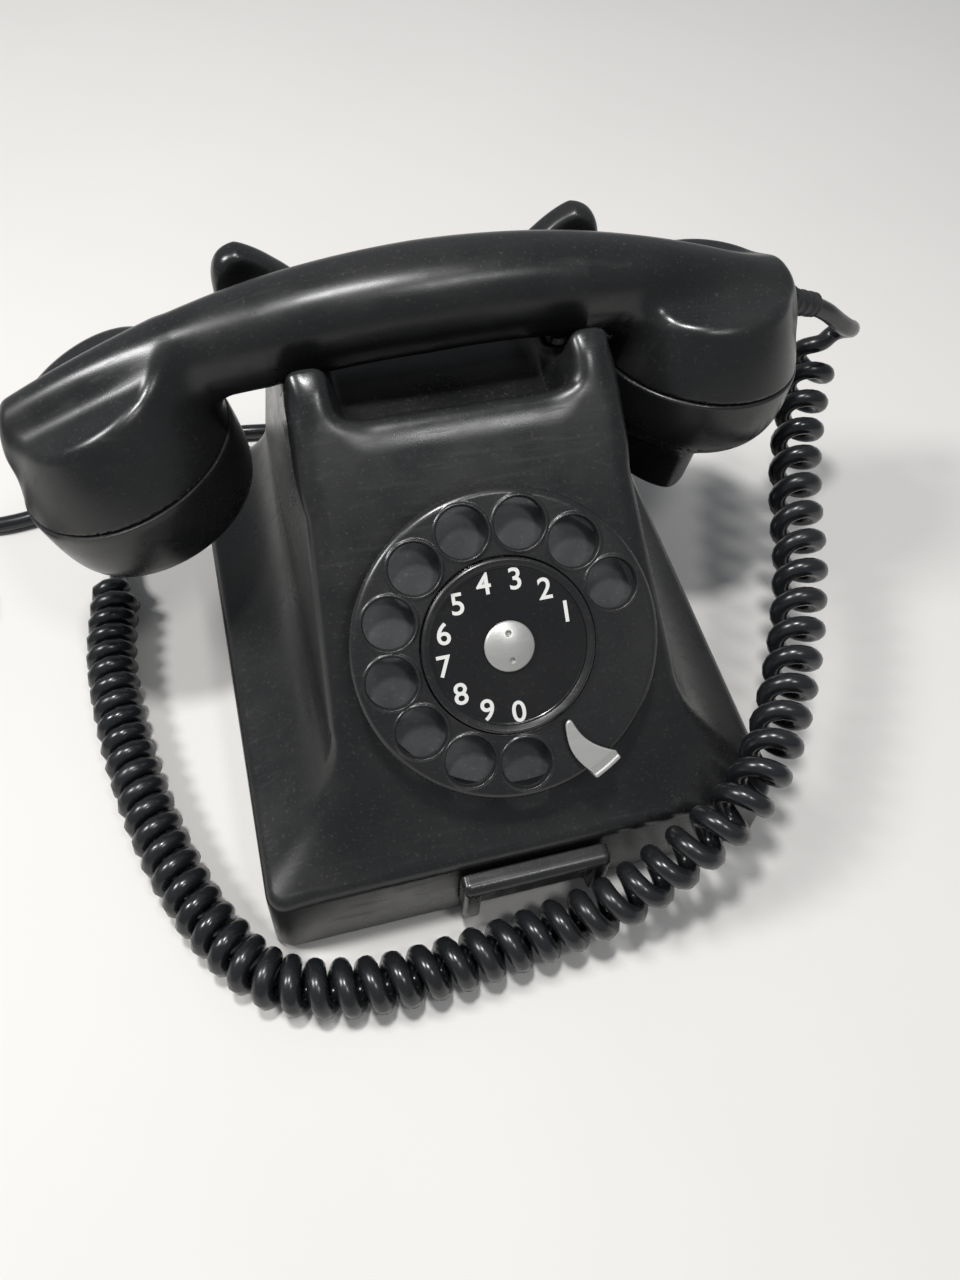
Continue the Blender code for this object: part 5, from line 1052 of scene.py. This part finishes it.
def line_cord_line(cords):
    """Centreline of the line cord: across the table, into its stored coil and out to the plug."""
    step = cords.line + 0.0001
    low = LINE_REST + 0.0012
    tracks = [(step, 0), (0, 0), (-step, 0), (-step, 1), (0, 1), (step, 1)]
    turns = []
    per_turn = 48
    for k in range(len(tracks) * per_turn + per_turn // 4 + 1):
        turn, part = divmod(k, per_turn)
        now, following = tracks[min(turn, len(tracks) - 1)], tracks[min(turn + 1, len(tracks) - 1)]
        t = np.clip((part / per_turn - 0.80) / 0.20, 0, 1)
        t = t * t * (3 - 2 * t)
        radius = cords.coil_radius + now[0] * (1 - t) + following[0] * t
        height = low + step * (now[1] * (1 - t) + following[1] * t)
        a = math.pi / 2 + 2 * math.pi * k / per_turn
        turns.append((cords.coil_x + radius * math.cos(a), COIL_Y + radius * math.sin(a), height))
    tail = [(turns[-1][0], COIL_Y - 0.012, turns[-1][2] - 0.0006), (turns[-1][0], COIL_Y - 0.026, 0.0090),
            (-0.2400, COIL_Y - 0.036, 0.0078), (-0.2380, COIL_Y - 0.0445, 0.0075)]
    run = smooth_line([*LINE_ROUTE, turns[0]], 60)[:-1]
    end = smooth_line([turns[-1], *tail], 16)[1:]
    return np.vstack([run, turns, end])


class PHONE_OT_line_cord(bpy.types.Operator):
    """Lay the line cord, its stored coil with a tie, and its plug"""
    bl_idname = "phone.line_cord"
    bl_label = "Line cord"

    def execute(self, context):
        cords = context.scene.phone_cords
        line = line_cord_line(cords)
        mesh = tube("line_cord", line, cords.line / 2, cords.tube_sides)
        cord = add_piece("line_cord_run", mesh, "base", "Cord sheath",
                         ["line_cord", "line_cord_coil", "line_cord_tail"])
        self.tie(cords)
        self.plug()
        return {"FINISHED"}

    def tie(self, cords):
        low, high = 0.0009 + 0.0004, 0.0009 + 0.0006 + 0.0116 + 0.0004
        near, far = cords.coil_radius - 0.0094, cords.coil_radius + 0.0094

        def field(x, y, z):
            u, w = x - (near + far) / 2, z - (low + high) / 2
            shell = rounded_box(u, w, (far - near) / 2 + 0.0011, (high - low) / 2 + 0.0008, 0.0028)
            strap = np.abs(shell + 0.0003) - 0.00038
            return soft_max(strap, np.abs(y) - 0.0055, 0.0004)

        mesh = skin("cord_tie", field, (near - 0.0025, -0.0065, -0.0004), (far + 0.0025, 0.0065, high + 0.0022),
                    0.0003)
        add_piece("cord_tie_strap", mesh, "base", "Bush rubber", ["cord_tie"],
                  Matrix.Translation((cords.coil_x, COIL_Y, 0)))

    def plug(self):
        low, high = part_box("plug")
        centre = (low + high) / 2
        half = (high - low) / 2

        def field(x, y, z):
            form = soft_max(rounded_box(x, z, half.x, half.z, 0.0045), np.abs(y) - half.y, 0.003)
            rows = np.abs((y * 1000 % 3.0) - 1.5) / 1000 - 0.0006
            grooves = np.maximum(np.abs(np.abs(x) - half.x) - 0.0007, rows)
            grooves = np.maximum(grooves, np.abs(y) - 0.009)
            return soft_cut(form, grooves, 0.0006)

        reach = Vector((0.001, 0.001, 0.001))
        mesh = skin("plug", field, tuple(-half - reach), tuple(half + reach), 0.0005)
        add_piece("plug_moulding", mesh, "base", "Black bakelite", ["plug"],
                  Matrix.Translation(centre))


class PHONE_OT_bushes(bpy.types.Operator):
    """Make the ribbed bushes where the cords leave the case and the handset"""
    bl_idname = "phone.bushes"
    bl_label = "Cord bushes"

    def execute(self, context):
        for name, node, x, wire in (("handset_cord_bush", "curly_gland", HANDSET_CORD_X, WIRE_DIAMETER),
                                    ("line_cord_bush", "line_gland", LINE_CORD_X, LINE_DIAMETER)):
            outline = self.ribbed(0.0060, wire / 2 + 0.0009, GLAND_END - GLAND_START, wire / 2)
            matrix = (Matrix.Translation((x, GLAND_START, CORD_HOLE_HEIGHT))
                      @ Matrix.Rotation(math.radians(-90), 4, "X"))
            add_piece(name, turned(name, outline, 48), "base", "Bush rubber", [node], matrix)
        outline = self.ribbed(0.0050, 0.0039, 0.0140, 0.003)
        matrix = Matrix.Translation(BOOT_ROOT) @ BOOT_AHEAD.to_track_quat("Z", "Y").to_matrix().to_4x4()
        add_piece("handset_boot_sleeve", turned("handset_boot_sleeve", outline, 48), "handset", "Bush rubber",
                  ["handset_boot"], matrix)
        return {"FINISHED"}

    def ribbed(self, root, tip, reach, hole):
        """Outline of a tapered sleeve with shallow ribs and a round lip."""
        outline = [(hole - 0.0003, -0.003), (root - 0.0008, -0.003), (root - 0.0008, 0.0002), (root, 0.0004),
                   (root, 0.0014)]
        ribs = 3
        for i in range(ribs):
            a, b = (i + 0.30) / (ribs + 0.4), (i + 0.75) / (ribs + 0.4)
            body = root * 0.86
            for share_along, depth in ((a, 0.0004), (a + 0.06, 0.0), (b, 0.0), (b + 0.06, 0.0004)):
                z = 0.0014 + (reach - 0.0014) * share_along
                outline.append((body + (tip - body) * share_along - depth, z))
        outline += [(tip, reach - 0.0006), (tip - 0.0004, reach), (hole - 0.0003, reach)]
        return outline


# -------------------------------------------------------------- remaining nodes

NODE_FINISH = {
    "Plated steel": ("base_plate", "address_tray", "dial_spindle", "return_spring", "governor", "hook_yoke",
        "switch_hanger", "gong_post_left", "gong_post_right", "ringer_frame", "clapper", "capacitor",
        "receiver_capsule", "transmitter_capsule"),
    "Black bakelite": ("dial_case", "plunger_left", "plunger_right", "terminal_block"),
    "Bare brass": ("main_gear", "movement_plate", "governor_bracket", "gong_left", "gong_right", "plug_pins"),
    "Brown fibre": ("pulse_contacts", "switch_springs"),
    "Wound wire": ("ringer_coil_left", "ringer_coil_right", "induction_coil"),
}


class PHONE_OT_works(bpy.types.Operator):
    """Give every CAD node that stays in view or inside the case its finish"""
    bl_idname = "phone.works"
    bl_label = "Works inside"

    def execute(self, context):
        finishes = {node: finish for finish, nodes in NODE_FINISH.items() for node in nodes}
        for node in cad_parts:
            if node.startswith("foot_"):
                finishes[node] = "Bush rubber"
            if node.startswith("base_screw_"):
                finishes[node] = "Plated steel"
        for node, finish in finishes.items():
            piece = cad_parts[node]
            piece.data.materials.clear()
            piece.data.materials.append(worn_material(finish))
        return {"FINISHED"}


# ------------------------------------------------------------------------ stage

# Each lamp's name, place, aim, width and power.
LAMPS = (("side", (-0.66, 0.12, 0.86), (0.0, 0.0, 0.05), 0.26, 6.6),
         ("ceiling", (-0.10, 0.03, 1.10), (0.0, 0.0, 0.06), 0.13, 7.0),
         ("front", (0.22, -0.42, 1.05), (0.0, -0.02, 0.05), 0.18, 2.2))


class PHONE_OT_stage(bpy.types.Operator):
    """Set the camera, the soft lamps and the pale floor"""
    bl_idname = "phone.stage"
    bl_label = "Stage"

    def execute(self, context):
        stage = context.scene.phone_stage
        self.camera(stage)
        self.floor(stage)
        self.lamps()
        context.scene.view_settings.view_transform = "Standard"
        return {"FINISHED"}

    def camera(self, stage):
        heading, down, roll = stage.azimuth, stage.down, stage.roll
        level = math.cos(down)
        ahead = Vector((math.sin(heading) * level, math.cos(heading) * level, -math.sin(down)))
        right = Vector((math.cos(heading), -math.sin(heading), 0))
        below = ahead.cross(right)
        across = right * math.cos(roll) + below * math.sin(roll)
        below = below * math.cos(roll) - right * math.sin(roll)
        data = bpy.data.cameras.new("camera")
        data.sensor_fit = "AUTO"
        data.sensor_width = 36.0
        data.lens = stage.lens
        data.clip_start = 0.01
        camera = linked("camera", data)
        turn = Matrix((across, -below, -ahead)).transposed().to_4x4()
        camera.matrix_world = Matrix.Translation(stage.camera_place) @ turn
        bpy.context.scene.camera = camera

    def floor(self, stage):
        bm = bmesh.new()
        bmesh.ops.create_grid(bm, x_segments=1, y_segments=1, size=4.0)
        mesh = bpy.data.meshes.new("floor")
        bm.to_mesh(mesh)
        bm.free()
        material, n, shader = new_material("Pale floor")
        if n:
            place = n.add("ShaderNodeTexCoord").outputs["Object"]
            cloud = n.noise(place, 7.0, Detail=4.0)
            pale = (*stage.floor, 1)
            n.link(n.blend(n.ramp(cloud, 0.3, 0.7), pale, [c * 0.97 for c in pale[:3]] + [1]),
                   shader.inputs["Base Color"])
            shader.inputs["Roughness"].default_value = 0.85
        floor = linked("floor", mesh)
        floor.data.materials.append(material)

    def lamps(self):
        world = bpy.context.scene.world or bpy.data.worlds.new("world")
        bpy.context.scene.world = world
        world.use_nodes = True
        back = world.node_tree.nodes["Background"]
        back.inputs["Color"].default_value = (0.84, 0.88, 0.94, 1)
        back.inputs["Strength"].default_value = 0.30
        for name, place, aim, size, power in LAMPS:
            data = bpy.data.lights.new(name, "AREA")
            data.shape = "DISK"
            data.size = size
            data.energy = power
            lamp = linked(name, data)
            lamp.location = place
            lamp.rotation_euler = (Vector(aim) - Vector(place)).to_track_quat("-Z", "Y").to_euler()


class PHONE_PT_panel(bpy.types.Panel):
    """Sizes, finishes and building steps of the telephone"""
    bl_idname = "PHONE_PT_panel"
    bl_label = "Desk telephone"
    bl_space_type = "VIEW_3D"
    bl_region_type = "UI"
    bl_category = "Telephone"

    def draw(self, context):
        for step in STEPS:
            self.layout.operator(step.bl_idname)
        for name, group in SETTINGS:
            box = self.layout.box()
            box.label(text=group.__doc__)
            for prop in group.__annotations__:
                box.prop(getattr(context.scene, name), prop)


STEPS = (PHONE_OT_stage, PHONE_OT_bushes, PHONE_OT_case, PHONE_OT_tray_pull, PHONE_OT_finger_wheel,
         PHONE_OT_dial_label, PHONE_OT_dial_metal, PHONE_OT_handset, PHONE_OT_caps, PHONE_OT_works,
         PHONE_OT_line_cord, PHONE_OT_handset_cord)
CLASSES = (*(group for _, group in SETTINGS), *STEPS, PHONE_PT_panel)


def register():
    for item in CLASSES:
        bpy.utils.register_class(item)
    for name, group in SETTINGS:
        setattr(bpy.types.Scene, name, PointerProperty(type=group))


def unregister():
    for name, _ in SETTINGS:
        delattr(bpy.types.Scene, name)
    for item in reversed(CLASSES):
        bpy.utils.unregister_class(item)


def main():
    register()
    for step in STEPS:
        area, name = step.bl_idname.split(".")
        getattr(getattr(bpy.ops, area), name)()
    bpy.context.view_layer.update()


if __name__ == "__main__":
    main()
